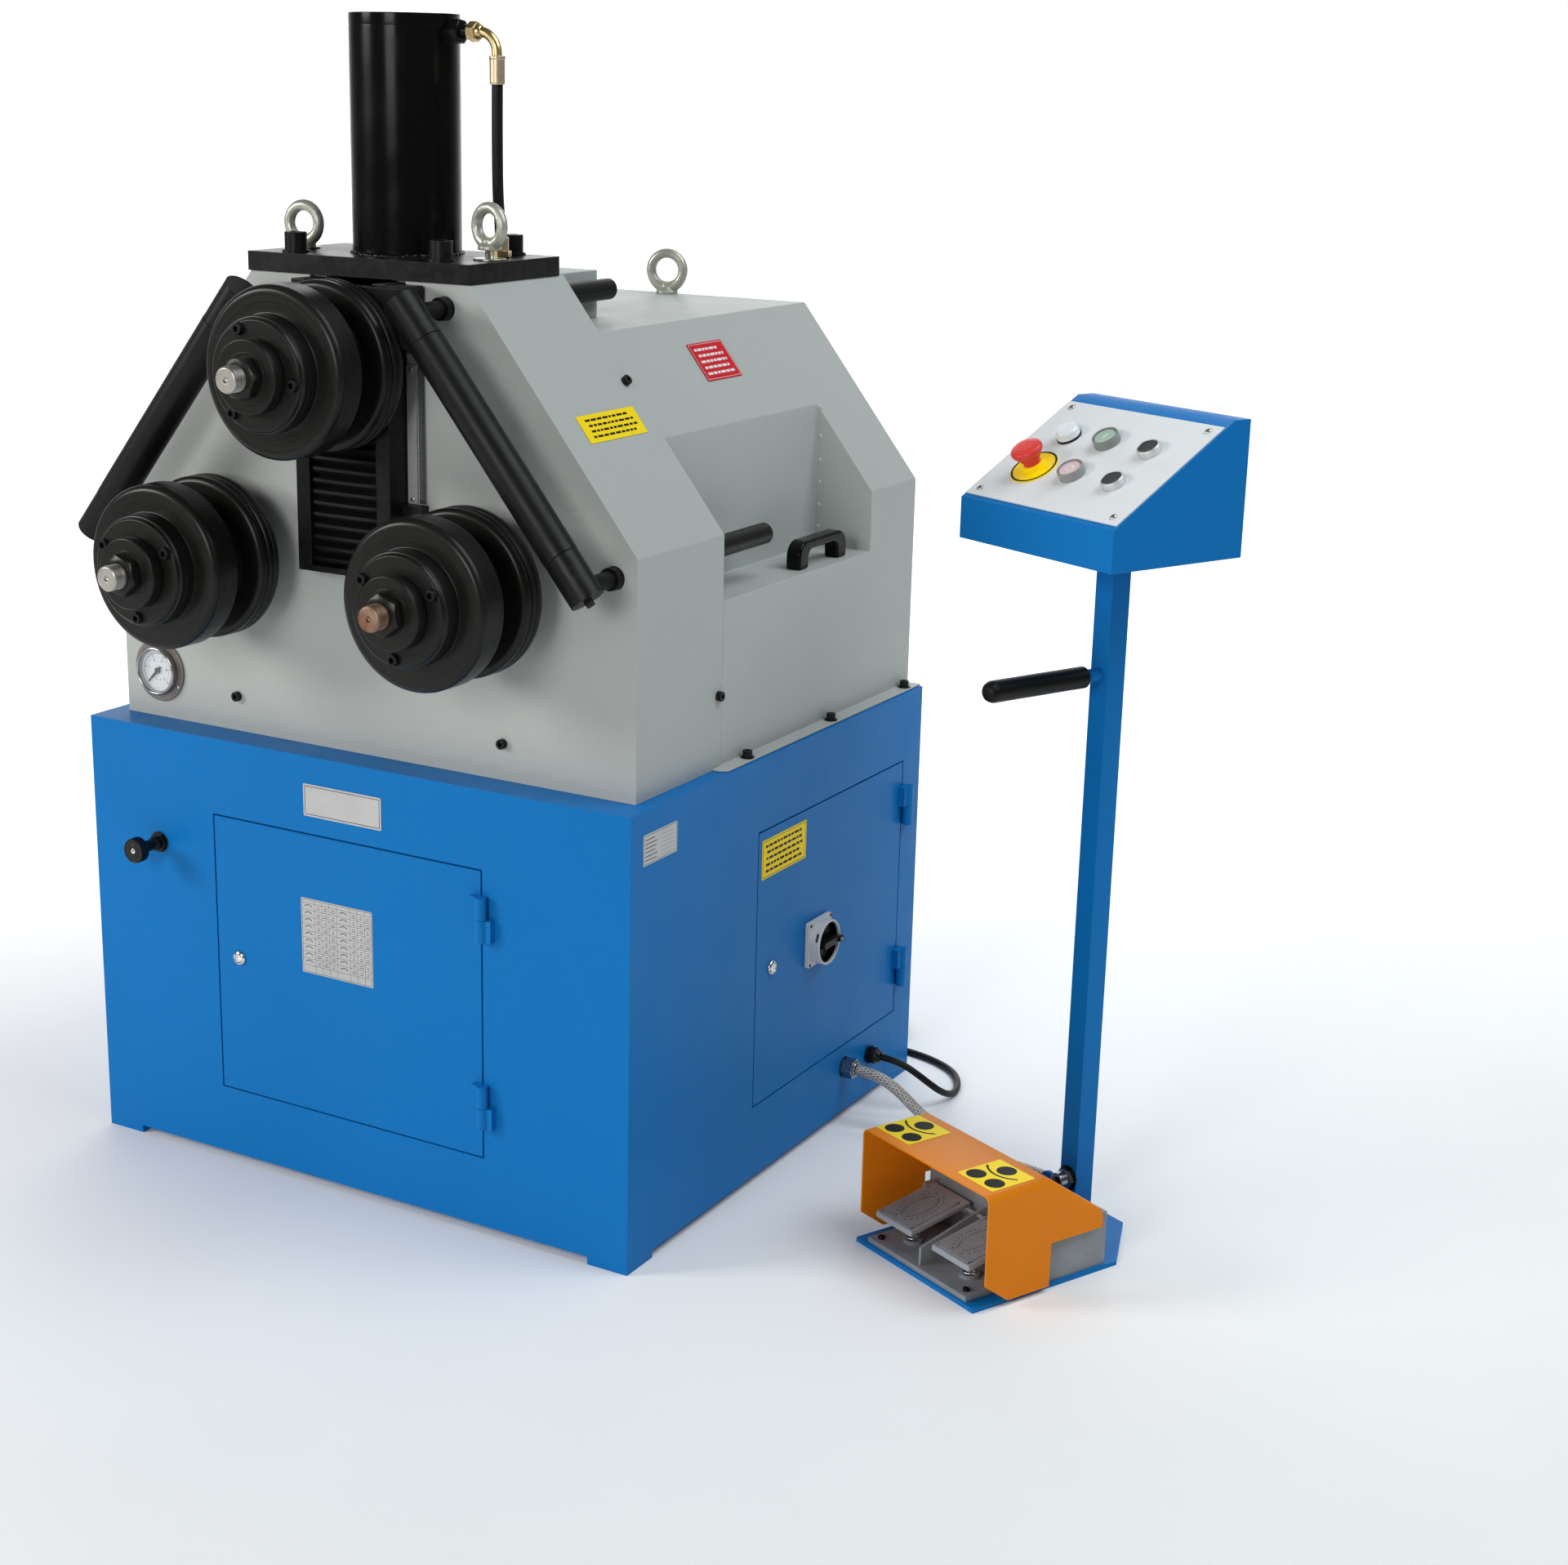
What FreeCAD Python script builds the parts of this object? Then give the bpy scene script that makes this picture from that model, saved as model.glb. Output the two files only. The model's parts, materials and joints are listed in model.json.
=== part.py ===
import FreeCAD, Part
import math
import os
import Sketcher

# Three-roll hydraulic ring roller with a free-standing control stand.
# Row frame: X to the right of someone facing the rolls, Y to the rear, Z up.
# Origin: centre of the four floor-anchor holes, on the floor.
# Most pieces are drawn with y = 0 on the cabinet's front face and are then
# moved back by half the cabinet's depth.

V = FreeCAD.Vector
doc = FreeCAD.newDocument("ring_roller")
sheet = doc.addObject("Spreadsheet::Sheet", "Params")
_row = [0]


class Q:
    """A number together with the spreadsheet expression that gives it."""

    def __init__(self, ex, v):
        self.ex, self.v = ex, float(v)

    def __add__(self, o):
        o = q(o)
        return Q("(%s + %s)" % (self.ex, o.ex), self.v + o.v)

    def __radd__(self, o):
        return q(o) + self

    def __sub__(self, o):
        o = q(o)
        return Q("(%s - %s)" % (self.ex, o.ex), self.v - o.v)

    def __rsub__(self, o):
        return q(o) - self

    def __mul__(self, o):
        o = q(o)
        return Q("(%s * %s)" % (self.ex, o.ex), self.v * o.v)

    def __rmul__(self, o):
        return q(o) * self

    def __truediv__(self, o):
        o = q(o)
        return Q("(%s / %s)" % (self.ex, o.ex), self.v / o.v)

    def __neg__(self):
        return Q("(0 - %s)" % self.ex, -self.v)

    def __float__(self):
        return self.v


def q(x):
    return x if isinstance(x, Q) else Q("(%.6f)" % x if x < 0 else "%.6f" % x, x)


def P(alias, value, note=""):
    _row[0] += 1
    n = _row[0]
    sheet.set("A%d" % n, note or alias)
    sheet.set("B%d" % n, "%.6f" % value)
    sheet.setAlias("B%d" % n, alias)
    return Q("Params." + alias, value)


# ---------------------------------------------------------------- sizes (mm)
cab_width = P("cab_width", 868, "cabinet width")
cab_depth = P("cab_depth", 795, "cabinet depth")
cab_top = P("cab_top", 600, "cabinet top above the floor")
foot_gap = P("foot_gap", 10.5, "gap under the skirt")
foot_size = P("foot_size", 60, "corner foot side")
wall = P("wall_cab", 3, "cabinet sheet")
anchor_rad = P("anchor_rad", 7, "floor anchor hole radius")
anchor_inset = P("anchor_inset", 30, "anchor hole from the cabinet's sides")

fd_left = P("fdoor_left", -219.5, "front door left edge")
fd_right = P("fdoor_right", 213.5, "front door right edge")
fd_low = P("fdoor_low", 108, "front door lower edge")
fd_high = P("fdoor_high", 494, "front door upper edge")
sd_front = P("sdoor_front", 315.5, "side door front edge")
sd_rear = P("sdoor_rear", 738.5, "side door rear edge")
sd_low = P("sdoor_low", 114.5, "side door lower edge")
sd_high = P("sdoor_high", 498.5, "side door upper edge")
door_gap = P("door_gap", 2.2, "gap round a door")
door_sheet = P("door_sheet", 2, "door sheet")
door_return = P("door_return", 20, "depth of a door's folded edge")
hinge_out = P("hinge_out", 8, "hinge pin in front of the door face")
hinge_side = P("hinge_side", 5.5, "hinge pin beyond the door edge")
knuckle_rad = P("knuckle_rad", 7.5, "hinge knuckle radius")
knuckle_len = P("knuckle_len", 29, "length of one hinge knuckle")
pin_rad = P("hinge_pin_rad", 3, "hinge pin radius")

hou_front = P("hou_front", 49.2, "housing front behind the cabinet front")
hou_depth = P("hou_depth", 202.6, "front housing depth")
hou_half = P("hou_half", 409.6, "housing half width")
hou_shoulder = P("hou_shoulder", 901.4, "housing shoulder height")
hou_top = P("hou_top", 1206.5, "housing top height")
hou_top_half = P("hou_top_half", 168, "housing half width at its top")
hou_wall = P("hou_wall", 4, "housing sheet")
hood_top = P("hood_top", 1138.8, "rear hood top height")
hood_top_half = P("hood_top_half", 221.6, "rear hood half width at its top")
hood_rear = P("hood_rear", 796, "rear face of the hood")
hood_wall = P("hood_wall", 3, "hood sheet")
rec_x = P("recess_wall_x", 320, "inner wall of a side recess")
rec_z = P("recess_ledge_z", 817, "ledge of a side recess")
rec_y = P("recess_rear_y", 658, "rear wall of a side recess")
rc_half = P("raised_half", 113, "raised cover half width")
rc_rear = P("raised_rear", 415, "raised cover rear face")
rc_top = P("raised_top", 1200.6, "raised cover top")
plate_half = P("plate_half", 170, "top plate half width")
plate_front = P("plate_front", 46, "top plate front edge")
plate_rear = P("plate_rear", 240, "top plate rear edge")
plate_thick = P("plate_thick", 24, "top plate thickness")

roll_x = P("roll_x", 201, "lower roll axis from the centre plane")
roll_low_z = P("roll_low_z", 848, "lower roll axis height")
roll_up_z = P("roll_up_z", 1104.7, "upper roll axis height")
roll_rad = P("roll_rad", 104, "roll disc radius")
shaft_rad = P("shaft_rad", 30, "shaft journal radius")
spigot_rad = P("spigot_rad", 25, "shaft radius inside the rolls")
thread_rad = P("thread_rad", 15.5, "threaded shaft end radius")
run_gap = P("run_gap", 0.06, "running clearance on radius")
stroke = P("ram_stroke", 160, "stroke of the upper slide")

cyl_y = P("cyl_y", 152, "cylinder axis behind the cabinet front")
cyl_rad = P("cyl_rad", 68.5, "cylinder outside radius")
cyl_bore = P("cyl_bore", 56, "cylinder bore radius")
cyl_top = P("cyl_top", 1519, "cylinder top height")
rod_rad = P("ram_rod_rad", 25, "piston rod radius")

rod_ux = P("guide_rod_ux", 132.3, "upper guide rod from the centre plane")
rod_uz = P("guide_rod_uz", 1177, "upper guide rod height")
rod_lx = P("guide_rod_lx", 376.3, "lower guide rod from the centre plane")
rod_lz = P("guide_rod_lz", 876, "lower guide rod height")
grod_rad = P("guide_rod_rad", 14, "guide rod radius")
grod_end = P("guide_rod_end", 416, "rear end of the guide rods")
strut_y = P("strut_y", -24, "guide sleeve axis")
sleeve_rad = P("sleeve_rad", 22.4, "guide sleeve radius")

stand_x = P("stand_x", 838, "post axis, x")
stand_y = P("stand_y", 478, "post axis behind the cabinet front")
stand_turn = P("stand_turn", -25, "stand turned about its post, degrees")
post_side = P("post_side", 30, "post side")
con_low = P("con_low", 901, "console underside height")
con_half = P("con_half", 137, "console half width")
con_front = P("con_front", -137, "console front")
con_rear = P("con_rear", 77, "console rear")
con_fh = P("con_fh", 52, "console front height")
con_bh = P("con_bh", 168, "console rear height")
con_flat = P("con_flat", 27, "flat strip at the console's rear top")

Y0 = cab_depth / 2.0
HALF = Y0.v


# ---------------------------------------------------------------- helpers
def bind(o, prop, val):
    val = q(val)
    o.setExpression(prop, val.ex)


def place(o, x=0, y=0, z=0, rot=None):
    """Placement of a feature, its position bound to the sheet."""
    if rot is not None:
        o.Placement = FreeCAD.Placement(V(float(x), float(y), float(z)), rot)
    bind(o, ".Placement.Base.x", x)
    bind(o, ".Placement.Base.y", y)
    bind(o, ".Placement.Base.z", z)
    return o


def box(x0, x1, y0, y1, z0, z1, name="Box"):
    o = doc.addObject("Part::Box", name)
    bind(o, "Length", q(x1) - x0)
    bind(o, "Width", q(y1) - y0)
    bind(o, "Height", q(z1) - z0)
    return place(o, x0, y0, z0)


ROT = {"z": FreeCAD.Rotation(), "x": FreeCAD.Rotation(V(0, 1, 0), 90), "-x": FreeCAD.Rotation(V(0, 1, 0), -90),
       "y": FreeCAD.Rotation(V(1, 0, 0), -90), "-y": FreeCAD.Rotation(V(1, 0, 0), 90), "-z": FreeCAD.Rotation(V(1, 0, 0), 180)}


def cyl(x, y, z, r, length, axis="z", name="Cylinder"):
    o = doc.addObject("Part::Cylinder", name)
    bind(o, "Radius", r)
    bind(o, "Height", length)
    return place(o, x, y, z, ROT[axis] if isinstance(axis, str) else axis)


def cone(x, y, z, r1, r2, length, axis="z", name="Cone"):
    o = doc.addObject("Part::Cone", name)
    bind(o, "Radius1", r1)
    bind(o, "Radius2", r2)
    bind(o, "Height", length)
    return place(o, x, y, z, ROT[axis] if isinstance(axis, str) else axis)


def sphere(x, y, z, r, name="Sphere"):
    o = doc.addObject("Part::Sphere", name)
    bind(o, "Radius", r)
    return place(o, x, y, z)


def torus(x, y, z, r1, r2, rot, name="Torus"):
    o = doc.addObject("Part::Torus", name)
    bind(o, "Radius1", r1)
    bind(o, "Radius2", r2)
    return place(o, x, y, z, rot)


def fuse(*parts, name="Fuse"):
    o = doc.addObject("Part::MultiFuse", name)
    o.Shapes = list(parts)
    o.Refine = True
    return o


def group(*parts, name="Group"):
    o = doc.addObject("Part::Compound", name)
    o.Links = list(parts)
    return o


def cut(base, *tools, name="Cut"):
    o = doc.addObject("Part::Cut", name)
    o.Base = base
    o.Tool = tools[0] if len(tools) == 1 else fuse(*tools, name=name + "Tools")
    o.Refine = True
    return o


def common(a, b, name="Common"):
    o = doc.addObject("Part::Common", name)
    o.Base = a
    o.Tool = b
    return o


def origin_of(body, role):
    for f in body.Origin.OriginFeatures:
        if f.Role == role:
            return f
    raise RuntimeError(role)


def sketch(body, role, pts, name):
    sk = body.newObject("Sketcher::SketchObject", name)
    sk.AttachmentSupport = [(origin_of(body, role), "")]
    sk.MapMode = "FlatFace"
    pts = [(q(a), q(b)) for a, b in pts]
    n = len(pts)
    for i in range(n):
        a, b = pts[i], pts[(i + 1) % n]
        sk.addGeometry(Part.LineSegment(V(a[0].v, a[1].v, 0), V(b[0].v, b[1].v, 0)), False)
    for i in range(n):
        sk.addConstraint(Sketcher.Constraint("Coincident", i, 2, (i + 1) % n, 1))
    for i in range(n):
        for kind, val in (("DistanceX", pts[i][0]), ("DistanceY", pts[i][1])):
            c = sk.addConstraint(Sketcher.Constraint(kind, -1, 1, i, 1, val.v))
            sk.setExpression("Constraints[%d]" % c, val.ex)
    return sk


def lathe(pts, name="Turned"):
    """A turned piece about its own Z: pts are (radius, height)."""
    body = doc.addObject("PartDesign::Body", name)
    sk = sketch(body, "XZ_Plane", pts, name + "Profile")
    rv = body.newObject("PartDesign::Revolution", name + "Revolution")
    rv.Profile = sk
    rv.ReferenceAxis = (sk, ["V_Axis"])
    rv.Angle = 360
    return body


def prism(pts, length, role="XZ_Plane", name="Prism", reverse=False):
    """A sketched outline padded by length. On XZ_Plane the pad runs toward
    -Y unless reversed, on XY_Plane toward +Z, on YZ_Plane toward +X."""
    body = doc.addObject("PartDesign::Body", name)
    sk = sketch(body, role, pts, name + "Profile")
    pad = body.newObject("PartDesign::Pad", name + "Pad")
    pad.Profile = sk
    pad.Reversed = reverse
    bind(pad, "Length", length)
    return body


def hexprism(x, y, z, af, length, axis="z", name="Hex"):
    o = doc.addObject("Part::Prism", name)
    o.Polygon = 6
    bind(o, "Circumradius", q(af) / math.sqrt(3.0))
    bind(o, "Height", length)
    return place(o, x, y, z, ROT[axis] if isinstance(axis, str) else axis)


def fillet(obj, chooser, radius, name="Fillet"):
    doc.recompute()
    edges = [(i + 1, float(radius), float(radius)) for i, e in enumerate(obj.Shape.Edges) if chooser(e)]
    o = doc.addObject("Part::Fillet", name)
    o.Base = obj
    o.Edges = edges
    return o


def feature(shape, name):
    o = doc.addObject("Part::Feature", name)
    o.Shape = shape
    return o


NODES = {}


def node(obj, label, x=0, y=None, z=0, rot=None):
    """Name a sub-part and put it in the row frame."""
    obj.Label = label
    place(obj, x, -Y0 if y is None else y, z, rot)
    NODES[label] = obj
    return obj


def mirror_pts(pts):
    """Right-hand outline points (x >= 0, bottom to top) closed by their mirror."""
    return list(pts) + [(-q(a), b) for a, b in reversed(pts)]


# ---------------------------------------------------------------- cabinet
def hinge_fixed(x, y, z, turn):
    c = cyl(0, 0, 0, knuckle_rad, knuckle_len, name="KnuckleLow")
    leaf = box(0, 16, -2, hinge_out, 0, knuckle_len, name="LeafLow")
    pin = cyl(0, 0, knuckle_len - 1, pin_rad, knuckle_len - 3, name="HingePin")
    f = fuse(c, leaf, pin, name="HingeFixed")
    f.Placement = FreeCAD.Placement(V(x, y, z), FreeCAD.Rotation(V(0, 0, 1), turn))
    return f


def hinge_moving(x, y, z, turn):
    c = cyl(0, 0, knuckle_len + 0.5, knuckle_rad, knuckle_len, name="KnuckleHigh")
    leaf = box(-16, 0, -2, hinge_out, knuckle_len + 0.5, knuckle_len * 2 + 0.5, name="LeafHigh")
    b = cyl(0, 0, knuckle_len, pin_rad + run_gap, knuckle_len - 2, name="HingeBore")
    f = cut(fuse(c, leaf), b, name="HingeMoving")
    f.Placement = FreeCAD.Placement(V(x, y, z), FreeCAD.Rotation(V(0, 0, 1), turn))
    return f


outer = box(-cab_width / 2, cab_width / 2, 0, cab_depth, foot_gap, cab_top, "CabinetBlank")
inner = box(-cab_width / 2 + wall, cab_width / 2 - wall, wall, cab_depth - wall, foot_gap + 4, cab_top - wall, "CabinetInside")
fo = box(fd_left - door_gap, fd_right + door_gap, -1, 26.1, fd_low - door_gap, fd_high + door_gap, "FrontOpening")
so = box(cab_width / 2 - 26.1, cab_width / 2 + 1, sd_front - door_gap, sd_rear + door_gap, sd_low - door_gap, sd_high + door_gap, "SideOpening")
shell = cut(outer, inner, fo, so, name="CabinetBox")
# door trays: a folded frame behind each opening with an access hole
ft = cut(box(fd_left - door_gap - 3, fd_right + door_gap + 3, wall - 0.5, 26, fd_low - door_gap - 3, fd_high + door_gap + 3, "FrontTray"),
         box(fd_left - door_gap, fd_right + door_gap, 0, 23, fd_low - door_gap, fd_high + door_gap, "FrontTrayInside"),
         box(fd_left + 19.5, fd_right - 19.5, 0, 30, fd_low + 19, fd_high - 19, "FrontAccess"), name="FrontTrayCut")
st = cut(box(cab_width / 2 - 26, cab_width / 2 - wall + 0.5, sd_front - door_gap - 3, sd_rear + door_gap + 3, sd_low - door_gap - 3, sd_high + door_gap + 3, "SideTray"),
         box(cab_width / 2 - 23, cab_width / 2, sd_front - door_gap, sd_rear + door_gap, sd_low - door_gap, sd_high + door_gap, "SideTrayInside"),
         box(cab_width / 2 - 30, cab_width / 2, sd_front + 19.5, sd_rear - 19.5, sd_low + 19, sd_high - 19, "SideAccess"), name="SideTrayCut")
feet = [box(sx * (cab_width / 2) - (foot_size if sx > 0 else 0), sx * (cab_width / 2) + (foot_size if sx < 0 else 0),
            y0, y0 + foot_size, 0, foot_gap + 1, "Foot")
        for sx in (-1, 1) for y0 in (q(0), cab_depth - foot_size)]
anchors = [cyl(sx * (cab_width / 2 - anchor_inset), y0, -1, anchor_rad, 30, name="AnchorHole")
           for sx in (-1, 1) for y0 in (anchor_inset, cab_depth - anchor_inset)]
hx = fd_right.v + hinge_side.v
sy = sd_rear.v + hinge_side.v
hw = cab_width.v / 2
fixed_hinges = [hinge_fixed(hx, -hinge_out.v, 404.5, 0), hinge_fixed(hx, -hinge_out.v, 151.5, 0),
                hinge_fixed(hw + hinge_out.v, sy, 404.5, 90), hinge_fixed(hw + hinge_out.v, sy, 154.5, 90)]
cabinet = cut(fuse(shell, ft, st, *feet, *fixed_hinges, name="CabinetWeldment"),
              *anchors,
              cyl(hw - 5, 584, 78, 8.1, 10, "x", "ConduitHole"),
              cyl(hw - 5, 659, 72, 5.1, 10, "x", "MainsHole"),
              cyl(-318, -1, 440, 4.4, 10, "y", "ValveHole"), name="Cabinet")
node(cabinet, "cabinet_shell")


def door(left, right, low, high, label, turn, bx, by, hz, lock_in, lock_z, spindle=None):
    """Door with folded edges, drawn with its face on y = 0 and x = 0 on its
    hinge pin, then turned and moved to its pin."""
    w = right - left
    d = cut(box(-hinge_side - w, -hinge_side, 0, door_return, low, high, "DoorBlank"),
            box(-hinge_side - w + 1.5, -hinge_side - 1.5, door_sheet, door_return + 1, low + 1.5, high - 1.5, "DoorInside"), name="DoorPan")
    lx = -hinge_side - w + lock_in
    boss = cyl(lx, door_sheet - 0.5, lock_z, 12, 8, "y", "LockBoss")
    d = fuse(d, boss, *[hinge_moving(0, -hinge_out.v, z, 0) for z in hz], name="DoorWelded")
    d = cut(d, cyl(lx, -5, lock_z, q(8) + run_gap, 30, "y", "LockHole"), name="Door")
    if spindle:
        d = cut(d, cyl(spindle[0], -5, spindle[1], 4.5, 30, "y", "SpindleHole"), name="DoorDrilled")
    node(d, label, bx, by, 0, FreeCAD.Rotation(V(0, 0, 1), turn))
    head = cyl(0, -4, 0, 10, 3.7, "y", "LockHead")
    plug = cyl(0, -1, 0, 8, 29, "y", "LockPlug")
    cam = box(-7, 7, 27.2, 30, -7, 34, "LockCam")
    slot = box(-0.8, 0.8, -5, -2, -4.5, 4.5, "KeySlot")
    lock = cut(fuse(head, plug, cam), slot, name="Lock")
    r = FreeCAD.Rotation(V(0, 0, 1), turn)
    off = r.multVec(V(lx.v, 0, lock_z.v))
    node(lock, label + "_lock", bx + off.x, by + off.y, lock_z, r)
    return d


door(fd_left, fd_right, fd_low, fd_high, "front_door", 0, fd_right + hinge_side, -Y0, (404.5, 151.5), q(36), q(300))
door(sd_front, sd_rear, sd_low, sd_high, "side_door", 90, cab_width / 2, sd_rear + hinge_side - Y0, (404.5, 154.5), q(42), q(301), (-260.5, 302.8))

# ---------------------------------------------------------------- housing
half_hou = [(hou_half, cab_top), (hou_half, hou_shoulder), (hou_top_half, hou_top)]
hb = prism(mirror_pts(half_hou), hou_depth, name="HousingOutside", reverse=True)
place(hb, 0, hou_front, 0)
half_in = [(hou_half - hou_wall, cab_top - 1), (hou_half - hou_wall, hou_shoulder - 1.9), (hou_top_half - 1.9, hou_top - hou_wall)]
hi = prism(mirror_pts(half_in), hou_depth - hou_wall * 2, name="HousingInside", reverse=True)
place(hi, 0, hou_front + hou_wall, 0)
rear_face = hou_front + hou_depth
holes = [box(-73.9, 73.9, 40, 60, 840.5, 1210, "SlideSlot"),
         box(-56, 56, 58, 240, 1195, 1210, "TopOpening"),
         box(-75, 75, 240, 260, 870, 1192, "RearSlot"),
         cyl(-349, 40, 665, 31.6, 20, "y", "GaugeHole")]
for s in (-1, 1):
    holes += [cyl(s * roll_x, 40, roll_low_z, 58.5, 20, "y", "ShaftHoleFront"),
              cyl(s * roll_x, 240, roll_low_z, 40, 20, "y", "ShaftHoleRear")]
    for x, z in ((rod_ux, rod_uz), (rod_lx, rod_lz)):
        holes.append(cyl(s * x, 30, z, grod_rad + 0.4, 240, "y", "RodHole"))
node(cut(hb, hi, *holes, name="FrontHousing"), "front_housing")

# rear hood: same slopes, lower top, a recess with a ledge on each side
half_hood = [(hou_half, cab_top), (hou_half, hou_shoulder), (hood_top_half, hood_top)]
ho = prism(mirror_pts(half_hood), hood_rear - rear_face, name="HoodOutside", reverse=True)
place(ho, 0, rear_face, 0)
half_hin = [(hou_half - hood_wall, cab_top - 1), (hou_half - hood_wall, hou_shoulder - 1.4), (hood_top_half - 1.4, hood_top - hood_wall)]
hin = prism(mirror_pts(half_hin), hood_rear - rear_face - hood_wall + 1, name="HoodInside", reverse=True)
place(hin, 0, rear_face - 1, 0)
recs = [box(rec_x, 420, rear_face - 1, rec_y, rec_z, 1030, "RecessRight"), box(-420, -rec_x, rear_face - 1, rec_y, rec_z, 1030, "RecessLeft")]
keep = [box(rec_x - hood_wall, 420, rear_face - 2, rec_y + hood_wall, rec_z - hood_wall, 1030, "RecessSkinRight"),
        box(-420, -rec_x + hood_wall, rear_face - 2, rec_y + hood_wall, rec_z - hood_wall, 1030, "RecessSkinLeft")]
cavity = cut(hin, *keep, name="HoodCavity")
hood = cut(ho, *recs, cavity, box(-105, 105, rear_face - 1, rc_rear - 6, 1120, 1150, "RaisedOpening"), name="HoodShell")
fl = []
for s in (-1, 1):
    pts = [(s * (hou_half - 1), rear_face - 20.6), (s * (hou_half + 10), rear_face - 20.6), (s * 430, rear_face - 12), (s * 430, hood_rear), (s * (hou_half - 1), hood_rear)]
    f = prism(pts, 3, role="XY_Plane", name="HoodFlange")
    place(f, 0, 0, cab_top)
    # clear of the front housing's wall
    fl.append(cut(f, box(-hou_half, hou_half, 0, rear_face, cab_top - 1, cab_top + 5, "FlangeClear"), name="FlangeCut"))
hood = fuse(hood, *fl, name="HoodWeldment")
rc = cut(box(-rc_half, rc_half, rear_face, rc_rear, hood_top, rc_top, "RaisedBlank"),
         box(-rc_half + 3, rc_half - 3, rear_face - 1, rc_rear - 3, hood_top - 1, rc_top - 3, "RaisedInside"), name="RaisedCover")
node(group(hood, rc, name="RearHood"), "rear_hood")

# bridge handles on the two ledges
hands = []
for s in (-1, 1):
    bar = fillet(box(s * 385 - 11, s * 385 + 11, 478, 612, rec_z, rec_z + 38, "HandleBlank"),
                 lambda e: abs(e.CenterOfMass.z - (rec_z.v + 38)) < 0.01 and abs(e.Length - 22) < 0.01, 14, "HandleRound")
    hands.append(cut(bar, box(s * 385 - 12, s * 385 + 12, 503, 587, rec_z - 1, rec_z + 24, "HandleGap"), name="Handle"))
node(group(*hands, name="LedgeHandles"), "ledge_handles")

# ---------------------------------------------------------------- frame inside
half_fr = [(400, cab_top + 0.5), (400, 897), (160, 1199)]
fp = prism(mirror_pts([(q(a), q(b)) for a, b in half_fr]), 40, name="FramePlateFront", reverse=True)
place(fp, 0, 55, 0)
fr_holes = [box(-50, 50, 50, 100, 849, 1201, "FrameSlot")]
bores = []
noses = []
for s in (-1, 1):
    if s < 0:
        fr_holes.append(cyl(-349, 50, 665, 36, 60, "y", "GaugeRecess"))
    for x, z in ((rod_ux, rod_uz), (rod_lx, rod_lz)):
        fr_holes.append(cyl(s * x, 50, z, grod_rad + run_gap, 50, "y", "RodBore"))
    noses.append(cyl(s * roll_x, 20, roll_low_z, 58, 110, "y", "BearingNose"))
    noses.append(cyl(s * roll_x, 95, roll_low_z, 74, 14, "y", "BearingFlange"))
    noses.append(cyl(s * roll_x, 590, roll_low_z, 55, 50, "y", "BearingRear"))
    bores.append(cyl(s * roll_x, 0, roll_low_z, shaft_rad + run_gap, 700, "y", "ShaftBore"))
bores.append(cyl(0, 590, roll_low_z, q(20) + run_gap, 60, "y", "PinionBore"))
rp = box(-300, 300, 600, 625, cab_top + 0.5, 1000, "FramePlateRear")
node(cut(fuse(cut(fp, *fr_holes, name="FrontPlateCut"), rp, *noses, name="FrameFuse"), *bores, name="Frame"), "roll_frame")

rails = [box(s * 73.3 - (21.3 if s > 0 else 0), s * 73.3 + (21.3 if s < 0 else 0), 12, 54.9, 849, 1204, "Rail") for s in (-1, 1)]
rails.append(box(-73.3, 73.3, 12, 54.9, 841, 848.9, "RailFoot"))
rails.append(box(73.9, 105, 34, 49.1, 920, 935, "StopBlock"))
node(group(*rails, name="GuideRails"), "guide_rails")
strips = [box(75.2, 89.5, 46.2, 49.1, 936, 1106, "ScaleSilver"), box(92.6, 102.6, 46.6, 49.1, 936, 1106, "ScaleSteel")]
node(group(*strips, name="ScaleStrips"), "scale_strips")

# ribbed bellows below the slide
bz0, bz1, nrib = 849.2, 1048.6, 17
prof = [(q(44), q(bz0)), (q(22), q(bz0))]
for i in range(nrib):
    z = bz0 + (bz1 - bz0) * (i + 0.5) / nrib
    prof.append((q(14), q(z)))
    if i < nrib - 1:
        prof.append((q(22), q(bz0 + (bz1 - bz0) * (i + 1.0) / nrib)))
prof += [(q(22), q(bz1)), (q(44), q(bz1))]
bel = prism(prof, 103, role="YZ_Plane", name="BellowsBody")
place(bel, -51.5, 0, 0)
node(group(bel, name="Bellows"), "slide_bellows")

# ---------------------------------------------------------------- slide and ram
sl = fuse(box(-51.4, 51.4, 12, 30, 1049, 1200, "SlideFace"), box(-49.5, 49.5, 29, 236, 1049, 1190, "SlideBody"),
          box(40, 51.4, 5.5, 13, 1130, 1200, "PointerFoot"), box(40, 104, 5.5, 11.5, 1130, 1200, "PointerArm"),
          box(73.9, 104, 11, 44, 1124, 1203, "PointerBlock"), name="SlideBlank")
sl = cut(sl, cyl(0, 0, roll_up_z, shaft_rad + run_gap, 260, "y", "UpperBore"), cyl(0, cyl_y, 1170, rod_rad, 40, "z", "RamSocket"), name="SlideBlock")
mot = cut(fuse(cyl(0, 236.2, roll_up_z, 52, 90, "y", "MotorBody"), box(-42, 42, 236.2, 262, roll_up_z - 56, roll_up_z + 56, "MotorFlange"), name="MotorBlank"),
          cyl(0, 230, roll_up_z, shaft_rad + 0.3, 60, "y", "MotorBore"), name="UpperMotor")
node(group(sl, mot, name="Slide"), "slide_block")
ram = lathe([(0, 0), (rod_rad, 0), (rod_rad, 285), (cyl_bore - 0.3, 285), (cyl_bore - 0.3, 315), (0, 315)], "RamLathe")
node(ram, "piston_rod", 0, cyl_y - Y0, 1170)

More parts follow.
